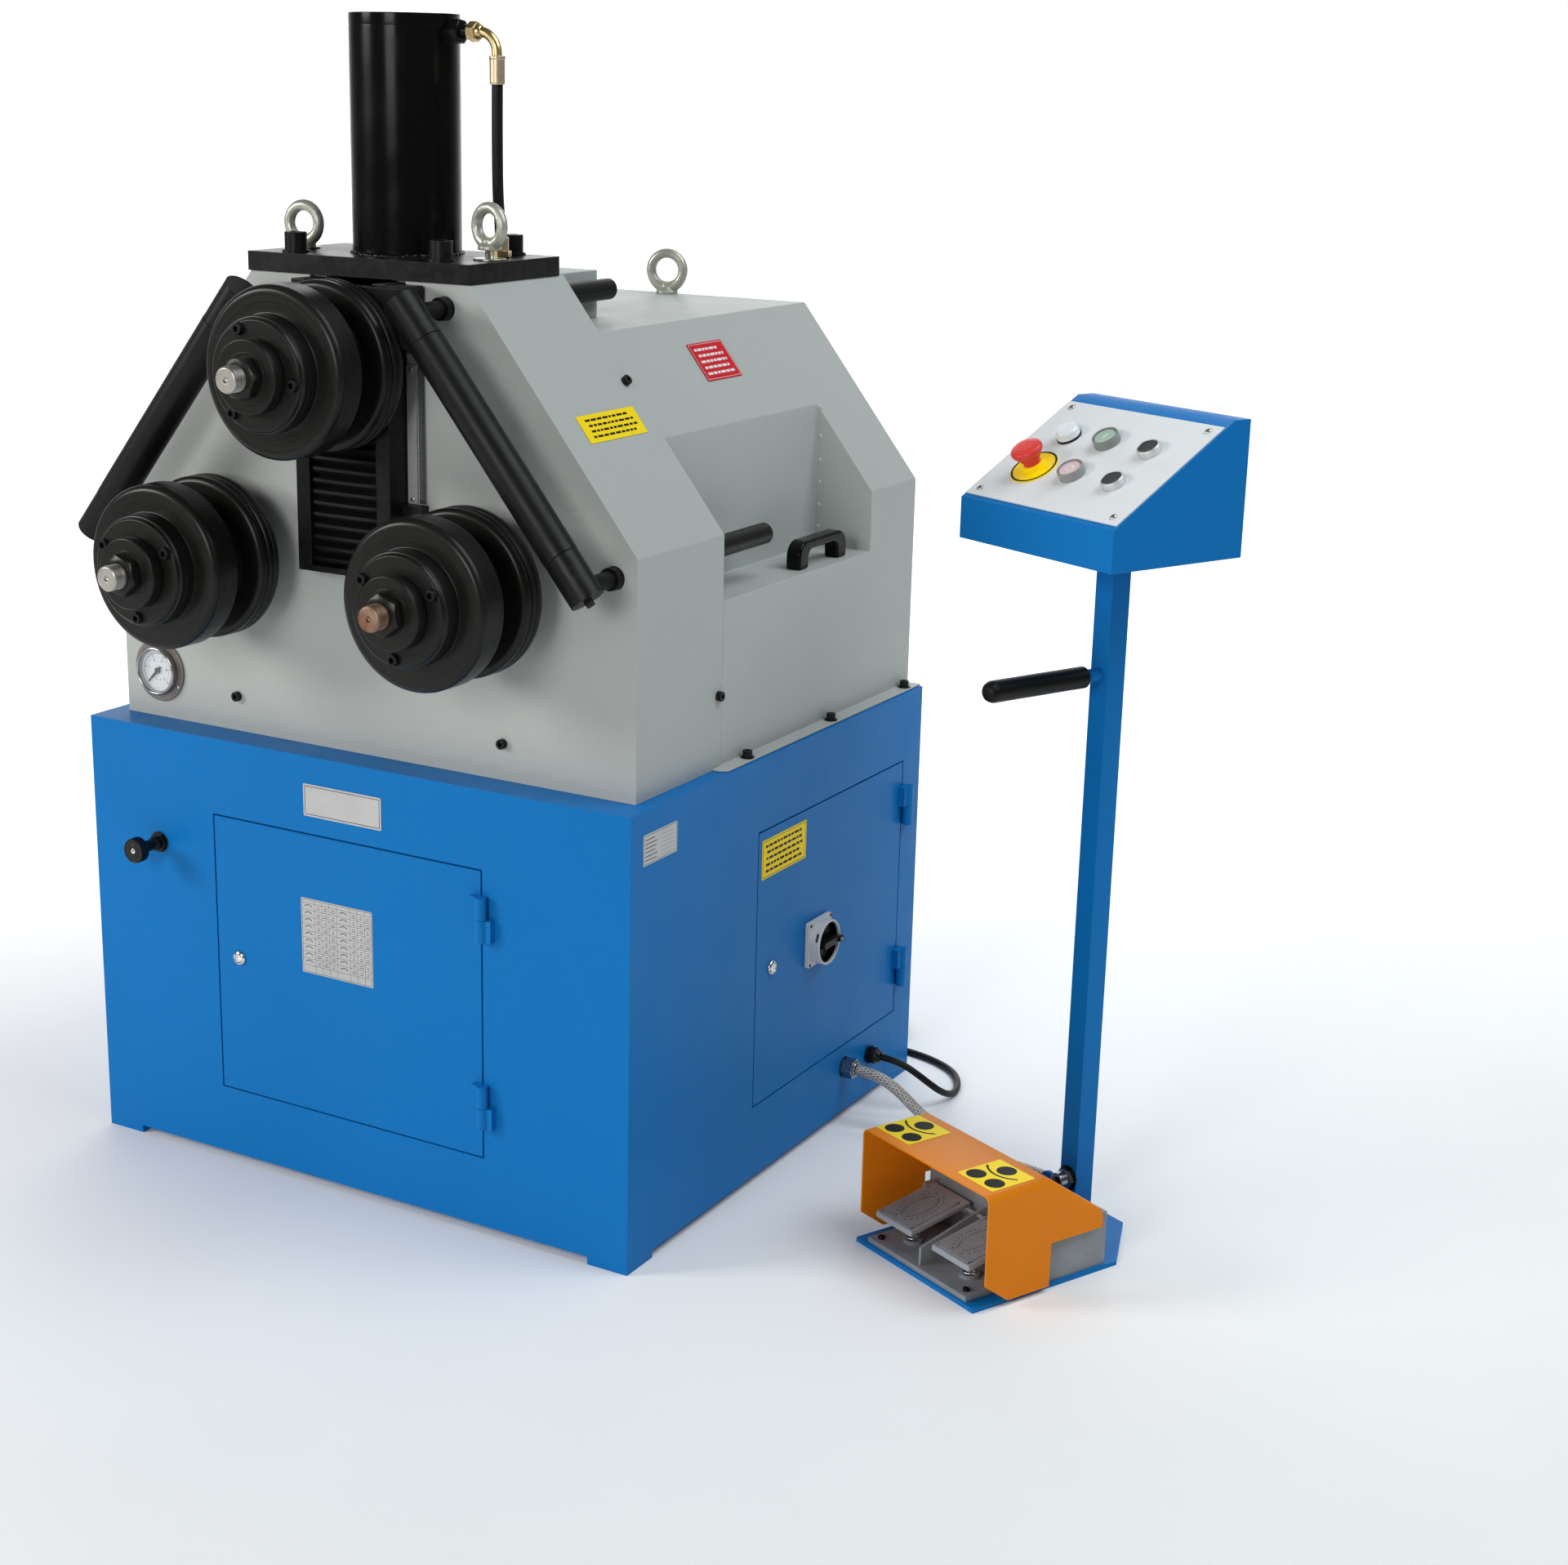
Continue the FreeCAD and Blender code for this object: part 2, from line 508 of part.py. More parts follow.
tp = box(-plate_half, plate_half, plate_front, plate_rear, hou_top, hou_top + plate_thick, "TopPlateBlank")
tph = [cyl(0, cyl_y, 1190, rod_rad + run_gap, 60, "z", "RamBore"), cyl(128, 172, 1190, 9, 60, "z", "HoseHole")]
for s in (-1, 1):
    for y in (70, 220):
        tph.append(cyl(s * 112, y, 1190, 9.2, 60, "z", "PlateBolt"))
    tph.append(cyl(s * 144, 126, 1190, 8, 60, "z", "EyeThread"))
node(cut(tp, *tph, name="TopPlate"), "top_plate")
base_z = hou_top + plate_thick
hgt = cyl_top - base_z
barrel = lathe([(rod_rad + run_gap, 0), (cyl_rad, 0), (cyl_rad, hgt), (0, hgt), (0, hgt - 22), (cyl_bore, hgt - 22), (cyl_bore, 18), (rod_rad + run_gap, 18)], "Barrel")
node(barrel, "cylinder_barrel", 0, cyl_y - Y0, base_z)

# port stub, elbow, ferrules and the bulkhead union in the top plate
fit = fuse(cyl(67.5, 150, 1498, 11.5, 34, "x", "PortStub"), hexprism(101, 150, 1498, 24, 12, "x", "ElbowNut"),
           cyl(110, 150, 1498, 9.5, 30, "x", "ElbowArm"), cyl(140, 150, 1472, 9.5, 26, "z", "ElbowLeg"),
           sphere(140, 150, 1498, 9.5, "ElbowCorner"), name="Elbow")
fer = cut(cyl(140, 150, 1440, 10, 32, "z", "Ferrule"), cyl(140, 150, 1439, 7, 8, "z", "FerruleBore"), name="FerruleTop")
uni = cut(fuse(hexprism(128, 172, base_z, 24, 9, "z", "UnionHex"), cyl(128, 172, base_z + 9, 10, 16, "z", "UnionFerrule"),
               cyl(128, 172, base_z - 20, 8.8, 21, "z", "UnionThread"), name="UnionBlank"),
          cyl(128, 172, base_z + 17, 7, 10, "z", "UnionBore"), name="Union")
barrel_clear = cyl(0, cyl_y, 1400, cyl_rad, 200, "z", "BarrelClear")
node(group(cut(fit, barrel_clear, name="ElbowCut"), fer, uni, name="HoseFittings"), "hose_fittings")


def rounded_path(pts):
    """Straight runs joined by tangent arcs, each as large as its runs allow."""
    p = [V(*a) for a in pts]
    edges, radii, cur = [], [], p[0]
    for i in range(1, len(p) - 1):
        a, b = (p[i] - p[i - 1]), (p[i + 1] - p[i])
        la, lb = a.Length, b.Length
        ua, ub = a / la, b / lb
        turn = ua.getAngle(ub)
        take = 0.45 * min(la, lb)
        rad = take / math.tan(turn / 2)
        radii.append(rad)
        s0, s1 = p[i] - ua * take, p[i] + ub * take
        bis = (ub - ua)
        bis.normalize()
        mid_c = p[i] + bis * (rad / math.cos(turn / 2))
        mid = mid_c - bis * rad
        if (s0 - cur).Length > 1e-6:
            edges.append(Part.LineSegment(cur, s0).toShape())
        edges.append(Part.Arc(s0, mid, s1).toShape())
        cur = s1
    edges.append(Part.LineSegment(cur, p[-1]).toShape())
    return edges, radii


def tube(pts, r, name):
    edges, radii = rounded_path(pts)
    wire = Part.Wire(edges)
    d = V(*pts[1]) - V(*pts[0])
    circ = Part.Wire([Part.makeCircle(r, V(*pts[0]), d)])
    mk = Part.BRepOffsetAPI.MakePipeShell(wire)
    mk.setFrenetMode(False)
    mk.add(circ)
    mk.build()
    mk.makeSolid()
    s = mk.shape()
    want = math.pi * r * r * wire.Length
    print("%s length %.1f mm, radii %s, volume ratio %.4f" % (name, wire.Length, ["%.0f" % a for a in radii], s.Volume / want))
    if abs(s.Volume / want - 1) > 0.02 or not s.isValid():
        raise RuntimeError("tube " + name)
    return s


HOSE = [(140, 150, 1447), (139.5, 150, 1405), (138, 152, 1350), (135, 157, 1305), (130, 168, 1275), (128, 172, 1247.5)]
node(feature(tube(HOSE, 7.0, "hydraulic_hose"), "Hose"), "hydraulic_hose")

# lifting eyes: ring, collar and stud
eyes = []
for x, y, z, lift, turn, big, thin, up, wash in ((-144, 126, base_z.v, 3, 4.5, 22, 7.2, 28.8, 3), (144, 126, base_z.v, 12, -11, 22, 7.2, 28.8, 2.5),
                                                 (0, 778, hood_top.v, 0, 11, 24.5, 7, 34, 0)):
    ring = torus(x, y, z + lift + up, big, thin, FreeCAD.Rotation(V(0, 0, 1), turn) * FreeCAD.Rotation(V(1, 0, 0), 90), "EyeRing")
    collar = cone(x, y, z + lift, 16, 10, 9, "z", "EyeCollar")
    foot = cyl(x, y, z + lift, 16, 3, "z", "EyeFoot")
    stud = cyl(x, y, z - 14, 7.8 if wash == 0 else 6, 14 + lift + 2, "z", "EyeStud")
    e = fuse(ring, collar, foot, stud, name="Eye") if wash == 0 else fuse(ring, collar, foot, stud, cyl(x, y, z, 20, wash, "z", "EyeWasher"), name="Eye")
    eyes.append(e)
hood_stud = cut(hood, cyl(0, 778, hood_top - 10, 8, 20, "z", "HoodEyeHole"), name="HoodDrilled")
NODES["rear_hood"].Links = [hood_stud, rc]
node(group(*eyes, name="LiftingEyes"), "lifting_eyes")

# cap screws: four large ones in the top plate, small ones on the sheet work
screws = []
for s in (-1, 1):
    for y in (70, 220):
        screws.append(cut(fuse(cyl(s * 112, y, base_z, 17, 3, "z", "Washer"), cyl(s * 112, y, base_z + 3, 14, 22, "z", "Head"),
                               cyl(s * 112, y, base_z - 22, 9, 23, "z", "Shank"), name="PlateScrewBlank"),
                          hexprism(s * 112, y, base_z + 14, 14, 12, "z", "Socket"), name="PlateScrew"))
    screws.append(cut(cyl(s * 214, hou_front, 647.7, 6.5, 7, "-y", "FaceScrew"), hexprism(s * 214, hou_front - 3, 647.7, 6, 6, "-y", "FaceSocket"), name="FaceScrewCut"))
    screws.append(cut(cyl(s * hou_half, 243, 696.3, 6.5, 7, "x" if s > 0 else "-x", "SideScrew"),
                      hexprism(s * (hou_half + 3), 243, 696.3, 6, 6, "x" if s > 0 else "-x", "SideSocket"), name="SideScrewCut"))
    ang = math.degrees(math.atan2((hou_top - hou_shoulder).v, (hou_half - hou_top_half).v))
    rs = FreeCAD.Rotation(V(0, 0, 1), V(s * math.sin(math.radians(ang)), 0, math.cos(math.radians(ang))))
    screws.append(cyl(s * 267.25, 241.8, 1081.24, 6.5, 7, rs, "SlopeScrew"))
    for y in (304, 535, 762):
        screws.append(cut(fuse(cyl(s * 420, y, cab_top + 3, 9, 2, "z", "FlangeWasher"), cyl(s * 420, y, cab_top + 5, 6.5, 8, "z", "FlangeHead"), name="FlangeScrewBlank"),
                          hexprism(s * 420, y, cab_top + 9, 6, 6, "z", "FlangeSocket"), name="FlangeScrew"))
node(group(*screws, name="CapScrews"), "cap_screws")

# pressure gauge: flanged case, open front with a dial inside
case = cut(fuse(cyl(-349, 46.2, 665, 42.5, 3, "y", "GaugeFlange"), cyl(-349, 36, 665, 33, 10.3, "y", "GaugeBezel"), cyl(-349, 49, 665, 31.2, 32, "y", "GaugeCan"), name="GaugeBlank"),
           cyl(-349, 35, 665, 28.6, 9.5, "y", "GaugeFront"), cyl(-349, 40, 665, 2.06, 12, "y", "NeedleBore"), name="Gauge")
node(case, "pressure_gauge")
ndl = fuse(cyl(0, 41.6, 0, 4.2, 1.6, "y", "NeedleHub"), cyl(0, 42, 0, 2, 8, "y", "NeedlePin"), name="NeedleCore")
tip = prism([(-1.6, 8), (1.6, 8), (1.6, -10), (0.4, -24), (-0.4, -24), (-1.6, -10)], 0.9, name="NeedleBlade", reverse=True)
place(tip, 0, 42, 0)
node(fuse(ndl, tip, name="Needle"), "gauge_needle", -349, -Y0, 665, FreeCAD.Rotation(V(0, 1, 0), 45))

# ---------------------------------------------------------------- roll sets


def roll_group(key, x, z, rear_end, phase, gear):
    f0 = -197.7
    # shaft, turned about its own Z which becomes +Y
    pts = [(0, 0), (thread_rad - 2, 0), (thread_rad, 2), (thread_rad, 52.8), (spigot_rad, 52.8), (spigot_rad, 202.3), (shaft_rad + 9, 202.3), (shaft_rad + 9, 207.5),
           (shaft_rad, 207.5), (shaft_rad, rear_end - f0), (0, rear_end - f0)]
    sh = lathe(pts, key + "Shaft")
    dimple = cone(0, 0, -0.5, 4.5, 0, 6, "z", key + "Centre")
    shaft = cut(sh, dimple, name=key + "ShaftCut")
    rot = ROT["y"]
    if gear is None:
        node(shaft, key + "_shaft", x, q(f0) - Y0, z, rot)
    else:
        gf = feature(gear_shape(gear, 6.0, 35.0, 30.0), key + "Gear")
        gf.Placement = FreeCAD.Placement(V(0, 0, 690 - f0), FreeCAD.Rotation(V(0, 0, 1), 0))
        node(group(shaft, gf, name=key + "ShaftGroup"), key + "_shaft", x, q(f0) - Y0, z, rot)
    # roll set: front disc with a rounded rim, spacer, grooved rear disc
    r = roll_rad
    arc = [(r - 9 + 9 * math.sin(math.radians(a)), q(14.7 + 9 - 9 * math.cos(math.radians(a)))) for a in range(0, 91, 9)]
    fr = lathe([(spigot_rad + 0.02, 0), (69.4, 0), (70, 0.6), (70, 14.7)] + arc + [(r + 0.4, 54), (r - 1.2, 55.7), (spigot_rad + 0.02, 55.7)], key + "FrontDisc")
    place(fr, 0, 0, 0)
    spc = lathe([(spigot_rad + 0.02, 55.8), (74, 55.8), (74, 100.3), (spigot_rad + 0.02, 100.3)], key + "Spacer")
    re = lathe([(spigot_rad + 0.02, 100.4), (r - 8, 100.4), (r - 4.6, 101.4), (r - 1.8, 103.6), (r, 107.5), (r, 112), (r - 3, 114), (r - 3, 116), (r, 118), (r, 122), (r - 3, 124), (r - 3, 126), (r, 128),
                (r, 133.4), (r - 2.7, 136.1), (spigot_rad + 0.02, 136.1)], key + "RearDisc")
    node(group(fr, spc, re, name=key + "RollSet"), key + "_roll", x, q(-131.7) - Y0, z, rot)
    # clamp set: nut, stepped hub disc, flange, three socket cap screws
    nut = cut(hexprism(0, 0, 0, 46, 14.6, "z", key + "Nut"), cyl(0, 0, -1, thread_rad + 0.05, 30, "z", key + "NutBore"), name=key + "NutCut")
    nut.Placement = FreeCAD.Placement(V(0, 0, 0), FreeCAD.Rotation(V(0, 0, 1), phase + 12))
    hub = lathe([(thread_rad + 0.05, 14.7), (43.5, 14.7), (45, 16.2), (45, 31.4), (41, 31.4), (41, 33), (thread_rad + 0.05, 33)], key + "Hub")
    flg = lathe([(spigot_rad + 0.05, 33.1), (66, 33.1), (67.6, 34.7), (67.6, 38), (70, 38), (70, 46.2), (spigot_rad + 0.05, 46.2)], key + "Flange")
    scr = []
    pockets = []
    for k in range(3):
        a = math.radians(phase + 120 * k)
        cx, cz = 58 * math.cos(a), 58 * math.sin(a)
        # local frame: x stays x, local y becomes -z of the row after the turn
        pockets.append(cyl(cx, -cz, 32.9, 7.6, 7.1, "z", key + "Counterbore"))
        scr.append(cut(cyl(cx, -cz, 27.2, 6.9, 12.6, "z", key + "Cap"), hexprism(cx, -cz, 26.9, 7, 4.8, "z", key + "CapHex"), name=key + "CapScrew"))
    flg = cut(flg, *pockets, name=key + "FlangeCut")
    node(group(nut, hub, flg, *scr, name=key + "ClampSet"), key + "_clamp", x, q(-178) - Y0, z, rot)


def gear_shape(gear, module, width, bore):
    """Spur gear about Z: straight-flanked teeth close to the involute, thinned
    for backlash. gear = (teeth, angle of one tooth centre in degrees)."""
    n, first = gear
    rp = module * n / 2
    ro, rr = rp + module * 0.92, rp - module * 1.22
    pts = []
    half_p = 0.235 * math.pi * module / rp
    for i in range(n):
        c = math.radians(first) + 2 * math.pi * i / n
        for rad, h in ((rr, half_p * 1.62), (rp, half_p), (ro, half_p * 0.44)):
            pts.append((rad, c - h))
        for rad, h in ((ro, half_p * 0.44), (rp, half_p), (rr, half_p * 1.62)):
            pts.append((rad, c + h))
    vs = [V(r * math.cos(a), r * math.sin(a), 0) for r, a in pts]
    w = Part.makePolygon(vs + [vs[0]])
    s = Part.Face(w).extrude(V(0, 0, width))
    return s.cut(Part.makeCylinder(bore, width + 2, V(0, 0, -1)))


# local Y of a turned piece is -Z of the row, so a gear's angles are mirrored
roll_group("lower_right", roll_x, roll_low_z, 745, 26, (50, 3.6))
roll_group("lower_left", -roll_x, roll_low_z, 745, 30, (50, 0.0))
roll_group("upper", q(0), roll_up_z, 270, -7, None)
pin_shaft = cyl(0, 0, 0, 20, 180, "z", "PinionShaft")
pin_gear = feature(gear_shape((17, 0.0), 6.0, 35.0, 20.0), "PinionGear")
pin_gear.Placement = FreeCAD.Placement(V(0, 0, 125), FreeCAD.Rotation())
node(group(pin_shaft, pin_gear, name="Pinion"), "drive_pinion", 0, q(565) - Y0, roll_low_z, ROT["y"])
gm = cut(fuse(cyl(0, 385, roll_low_z, 78, 120, "y", "GearmotorCan"), box(-85, 85, 504, 599.5, roll_low_z - 85, roll_low_z + 85, "Gearbox"), name="GearmotorBlank"),
         cyl(0, 560, roll_low_z, 20.4, 60, "y", "GearboxBore"), name="Gearmotor")
node(gm, "drive_gearmotor")

# hydraulic power pack in the cabinet: tank, motor, valve block
tank = box(-330, -20, 430, 730, 40, 290, "Tank")
legs = [box(-330, -20, y, y + 30, 14.6, 39.9, "TankLeg") for y in (430, 700)]
pm = cyl(-240, 580, 290.2, 75, 210, "z", "PumpMotor")
vb = box(-140, -40, 520, 620, 290.2, 370, "ValveBlock")
node(group(tank, *legs, pm, vb, name="PowerPack"), "power_pack")

# ---------------------------------------------------------------- side guides


def guide(key, s):
    """Two stepped rods through the housing, an end block on each, an axle
    between the blocks and a clamp bolt in the lower one."""
    rods, blocks = [], []
    A = V(s * rod_ux.v, strut_y.v, rod_uz.v)
    B = V(s * rod_lx.v, strut_y.v, rod_lz.v)
    d = (B - A)
    L = d.Length
    d.normalize()
    rot = FreeCAD.Rotation(V(0, 0, 1), d)
    for pz in (A, B):
        rods.append(cut(fuse(cyl(pz.x, strut_y, pz.z, 10.5, 62, "y", key + "Neck"), cyl(pz.x, 37, pz.z, grod_rad, grod_end - 37 - 4, "y", key + "Rod"),
                             cone(pz.x, grod_end - 4, pz.z, grod_rad, grod_rad - 4, 4, "y", key + "RodEnd"), name=key + "RodFuse"),
                        cyl(pz.x, strut_y - 5, pz.z, 0.5, 6, "y", key + "RodCentre"), name=key + "RodCut"))
    spans = ((A - d * 19, 59), (B - d * 42, 59))
    for i, (p, ln) in enumerate(spans):
        b = cyl(p.x, p.y, p.z, 22, ln, rot, key + "Block")
        tools = [cyl(A.x if i == 0 else B.x, strut_y - 0.02, A.z if i == 0 else B.z, 10.52, 60, "y", key + "BlockBore")]
        blocks.append(cut(b, *tools, name=key + "BlockCut"))
    pa = A + d * 40.2
    ax = cyl(pa.x, pa.y, pa.z, 8, L - 42 - 40.4, rot, key + "Axle")
    pe = B + d * 17
    bolt = cyl(pe.x, pe.y, pe.z, 5.5, 8, rot, key + "Bolt")
    node(group(*rods, *blocks, ax, bolt, name=key + "Frame"), key + "_frame")
    ps = A + d * 40.5
    sl_ = cut(cyl(ps.x, ps.y, ps.z, sleeve_rad, L - 42 - 41, rot, key + "SleeveBlank"),
              cyl(pa.x - d.x, pa.y - d.y, pa.z - d.z, 8 + run_gap.v, L, rot, key + "SleeveBore"), name=key + "Sleeve")
    node(sl_, key + "_sleeve")


guide("right_guide", 1)
guide("left_guide", -1)

# ---------------------------------------------------------------- switch, valve, glands
sw = cut(fuse(box(hw, hw + 7, 451, 516, 270.3, 335.3, "SwitchPlate"), cyl(hw + 6.5, 483.5, 302.8, 32, 15.5, "x", "SwitchRing"), name="SwitchBlank"),
         cyl(hw + 7, 483.5, 302.8, 29, 30, "x", "SwitchWell"), cyl(hw - 1, 483.5, 302.8, 4.06, 12, "x", "SwitchBore"), name="SwitchBase")
node(sw, "main_switch_base")
kn = fuse(cyl(0, 0, 0, 28, 5, "x", "SwitchDisc"), box(4, 19, -22, 26, -5.5, 5.5, "SwitchGrip"), box(15.5, 22, 18, 32, -4, 4, "SwitchPointer"),
          cyl(-12, 0, 0, 4, 13, "x", "SwitchSpindle"), name="SwitchKnob")
node(kn, "main_switch_handle", hw + 7.3, 483.5 - Y0, 302.8)
vk = cut(fuse(cyl(0, -52, 0, 17, 14, "y", "ValveDisc"), cyl(0, -38.5, 0, 9, 6, "y", "ValveHub"), cyl(0, -33, 0, 4, 43, "y", "ValveSpindle"), name="ValveBlank"),
         cyl(0, -53, 0, 6, 3, "y", "ValveDish"), name="ValveKnob")
node(vk, "valve_knob", -318, -Y0, 440)

gl1 = cut(fuse(hexprism(hw, 584, 78, 26, 18, "x", "ConduitHex"), cyl(hw + 17, 584, 78, 11, 4, "x", "ConduitNose"), name="ConduitGlandBlank"),
          cyl(hw - 2, 584, 78, 8.02, 40, "x", "ConduitGlandBore"), name="ConduitGland")
gl2 = cut(fuse(hexprism(hw, 659, 72, 24, 7, "x", "MainsHex"), cone(hw + 6.5, 659, 72, 11.5, 7.5, 16, "x", "MainsNose"), name="MainsGlandBlank"),
          cyl(hw - 2, 659, 72, 5.02, 40, "x", "MainsGlandBore"), name="MainsGland")
vbase = cut(cyl(-318, -6, 440, 11, 6, "y", "ValveRing"), cyl(-318, -7, 440, 4.06, 9, "y", "ValveRingBore"), name="ValveSeat")
TH = math.radians(stand_turn.v)
CT, ST = math.cos(TH), math.sin(TH)


def stand_pt(r, s_, z):
    """A point of the stand's own frame in the cabinet-front frame."""
    return (stand_x.v + r * CT - s_ * ST, stand_y.v + r * ST + s_ * CT, z)


STAND_ROT = FreeCAD.Rotation(V(0, 0, 1), stand_turn.v)
stand_glands = []
for hx_, hy_, hz_, ax_ in ((0, -15, 52, "-y"), (-15, 0, 26, "-x")):
    nx, ny = (0, -1) if ax_ == "-y" else (-1, 0)
    g = cut(fuse(hexprism(hx_, hy_, hz_, 26, 8, ax_, "PostHex"), cyl(hx_ + nx * 7, hy_ + ny * 7, hz_, 11, 15, ax_, "PostNose"), name="PostGlandBlank"),
            cyl(hx_ + nx * -1, hy_ + ny * -1, hz_, 8.02 if ax_ == "-x" else 5.02, 40, ax_, "PostGlandBore"), name="PostGland")
    stand_glands.append(g)
# the pedal's own lead: a short straight sleeve from its housing to the post
stand_glands.append(cyl(0, -79.9, 52, 5, 59, "y", "PedalLead"))
for g in stand_glands:
    g.Placement = FreeCAD.Placement(V(stand_x.v, stand_y.v, 0), STAND_ROT).multiply(g.Placement)
    for e in ("x", "y", "z"):
        if g.Name.startswith("PedalLead"):
            g.setExpression(".Placement.Base." + e, None)
node(group(gl1, gl2, vbase, *stand_glands, name="Glands"), "cable_glands")


# ---------------------------------------------------------------- control stand
def stand_node(obj, label):
    return node(obj, label, stand_x, stand_y - Y0, 0, STAND_ROT)


pl = prism([(-86, -301), (146, -301), (146, -62), (70, 22), (-70, 22), (-86, -62)], 6, role="XY_Plane", name="StandPlate")
ph = post_side / 2
post = cut(box(-ph, ph, -ph, ph, 5.5, con_low, "PostBlank"), box(-ph + 2.5, ph - 2.5, -ph + 2.5, ph - 2.5, 8, con_low + 1, "PostInside"),
           cyl(0, 0, 52, 5.1, 30, "-y", "PostLeadHole"), cyl(0, 0, 26, 7.1, 30, "-x", "PostConduitHole"), name="Post")
bar = cyl(0, -ph + 1, 738, 9, 50, "-y", "GrabBar")
tab = fuse(cyl(-31, -22, 36, 14, 5, "y", "TabRound"), box(-45, -17, -22, -17, 5.5, 36, "TabLeg"), name="FootTab")
stand_node(fuse(pl, post, bar, tab, name="StandFrame"), "stand_frame")
grip = fillet(cyl(0, -41, 738, 14, 160, "-y", "GripBlank"), lambda e: e.Curve.TypeId == "Part::GeomCircle" and e.CenterOfMass.y < -190, 11, "GripRound")
grip = cut(grip, cyl(0, -30, 738, 9.02, 36, "-y", "GripBore"), name="Grip")
stand_node(grip, "grab_grip")

cpts = [(con_front, 0), (con_rear, 0), (con_rear, con_bh), (con_rear - con_flat, con_bh), (con_front, con_fh)]
co = prism(cpts, con_half * 2, role="YZ_Plane", name="ConsoleOutside")
place(co, -con_half, 0, con_low)
ang_p = math.atan2((con_bh - con_fh).v, (con_rear - con_flat - con_front).v)
cut_w = 2.0
# inside outline, open through the slope where the panel sits
ipts = [(con_front + 2, 2), (con_rear - 2, 2), (con_rear - 2, con_bh - 2), (con_rear - con_flat + 1, con_bh - 2), (con_front + 2, con_fh - 1.2)]
ci = prism(ipts, con_half * 2 - 4, role="YZ_Plane", name="ConsoleInside")
place(ci, -con_half + 2, 0, con_low)
slope_len = math.hypot((con_bh - con_fh).v, (con_rear - con_flat - con_front).v)
SL_ROT = FreeCAD.Rotation(V(1, 0, 0), math.degrees(ang_p))
mouth = box(-con_half + 14, con_half - 14, 16, slope_len - 16, -8, 3, "ConsoleMouth")
mouth_g = group(mouth, name="ConsoleMouthPlaced")
mouth_g.Placement = FreeCAD.Placement(V(0, con_front.v, con_low.v + con_fh.v), SL_ROT)
stand_node(cut(co, ci, mouth_g, name="ConsoleBox"), "console_box")

PANEL_PL = FreeCAD.Placement(V(stand_x.v, stand_y.v - HALF, 0), STAND_ROT).multiply(FreeCAD.Placement(V(0, con_front.v, con_low.v + con_fh.v), SL_ROT))


def panel_node(obj, label, du=0.0, dw=0.0, dn=0.0):
    """A sub-part drawn in the panel's frame: x across, y up the slope, z out."""
    pl_ = PANEL_PL.multiply(FreeCAD.Placement(V(du, dw, dn), FreeCAD.Rotation()))
    obj.Label = label
    obj.Placement = pl_
    NODES[label] = obj
    return obj


COLS = {"lamp": (-72, 138), "start": (-5, 140), "up": (71, 137), "stop": (-4, 74), "down": (70, 72), "estop": (-72, 73)}
pan = box(-con_half + 2, con_half - 2, 7, 203, 0.05, 2.05, "PanelBlank")
ph_ = [cyl(u, w, -1, 11.4 if k != "lamp" else 11.0, 5, "z", "PanelHole") for k, (u, w) in COLS.items()]
panel_node(cut(pan, *ph_, name="Panel"), "console_panel")
fits = []
for k, (u, w) in COLS.items():
    if k in ("up", "down"):
        b = fuse(cone(u, w, 2.1, 15, 14.2, 10, "z", "BezelRim"), cyl(u, w, -7.9, 11.35, 10.2, "z", "BezelTube"), name="BezelBlank")
        fits.append(cut(b, cyl(u, w, -9, 10.9, 30, "z", "BezelBore"), name="Bezel"))
    elif k in ("start", "stop"):
        b = fuse(cyl(u, w, 2.1, 17, 12.5, "z", "ShroudRim"), cyl(u, w, -7.9, 11.35, 10.2, "z", "ShroudTube"), name="ShroudBlank")
        fits.append(cut(b, cyl(u, w, -9, 10.9, 20, "z", "ShroudBore"), cyl(u, w, 4, 14.6, 12, "z", "ShroudBoreWide"), name="Shroud"))
    elif k == "lamp":
        b = fuse(cyl(u, w, 2.1, 16, 3, "z", "LampRing"), cyl(u, w, -7.9, 10.9, 10.2, "z", "LampTube"), cyl(u, w, 5, 15.2, 10.5, "z", "LampLens"), name="LampBlank")
        fits.append(b)
    else:
        b = fuse(cyl(u, w, 2.1, 31, 1.6, "z", "StopPlate"), cyl(u, w, 3, 14.6, 7, "z", "StopNeck"), cyl(u, w, -7.9, 11.35, 10.2, "z", "StopTube"), name="StopBlank")
        fits.append(cut(b, cyl(u, w, -9, 10.9, 30, "z", "StopBore"), name="StopCollar"))
for u in (-119, 119):
    for w in (19.5, 191):
        fits.append(cut(cone(u, w, 2.1, 4.4, 3.2, 2, "z", "PanelScrewHead"), box(u - 3.8, u + 3.8, w - 0.5, w + 0.5, 3.2, 5, "PanelSlot"), name="PanelScrew"))
panel_node(group(*fits, name="PanelFittings"), "panel_fittings")


def cap(k, label, r_top, top):
    u, w = COLS[k]
    b = fuse(cyl(0, 0, -10, 10.55, 10 + top - 3, "z", label + "Stem"), cyl(0, 0, top - 4, r_top, 4, "z", label + "Top"), name=label + "Cap")
    panel_node(b, label, u, w, 0)


cap("up", "up_button", 10.55, 13.0)
cap("down", "down_button", 10.55, 13.0)
cap("start", "start_button", 14.2, 13.4)
cap("stop", "stop_button", 14.2, 13.4)
es = lathe([(0, -10), (10.55, -10), (10.55, 17), (13.5, 17), (13.5, 24), (19, 26), (20, 28), (20, 31), (18.5, 33.5), (14, 35), (0, 35.8)], "EstopCap")
u, w = COLS["estop"]
panel_node(es, "estop_button", u, w, 0)

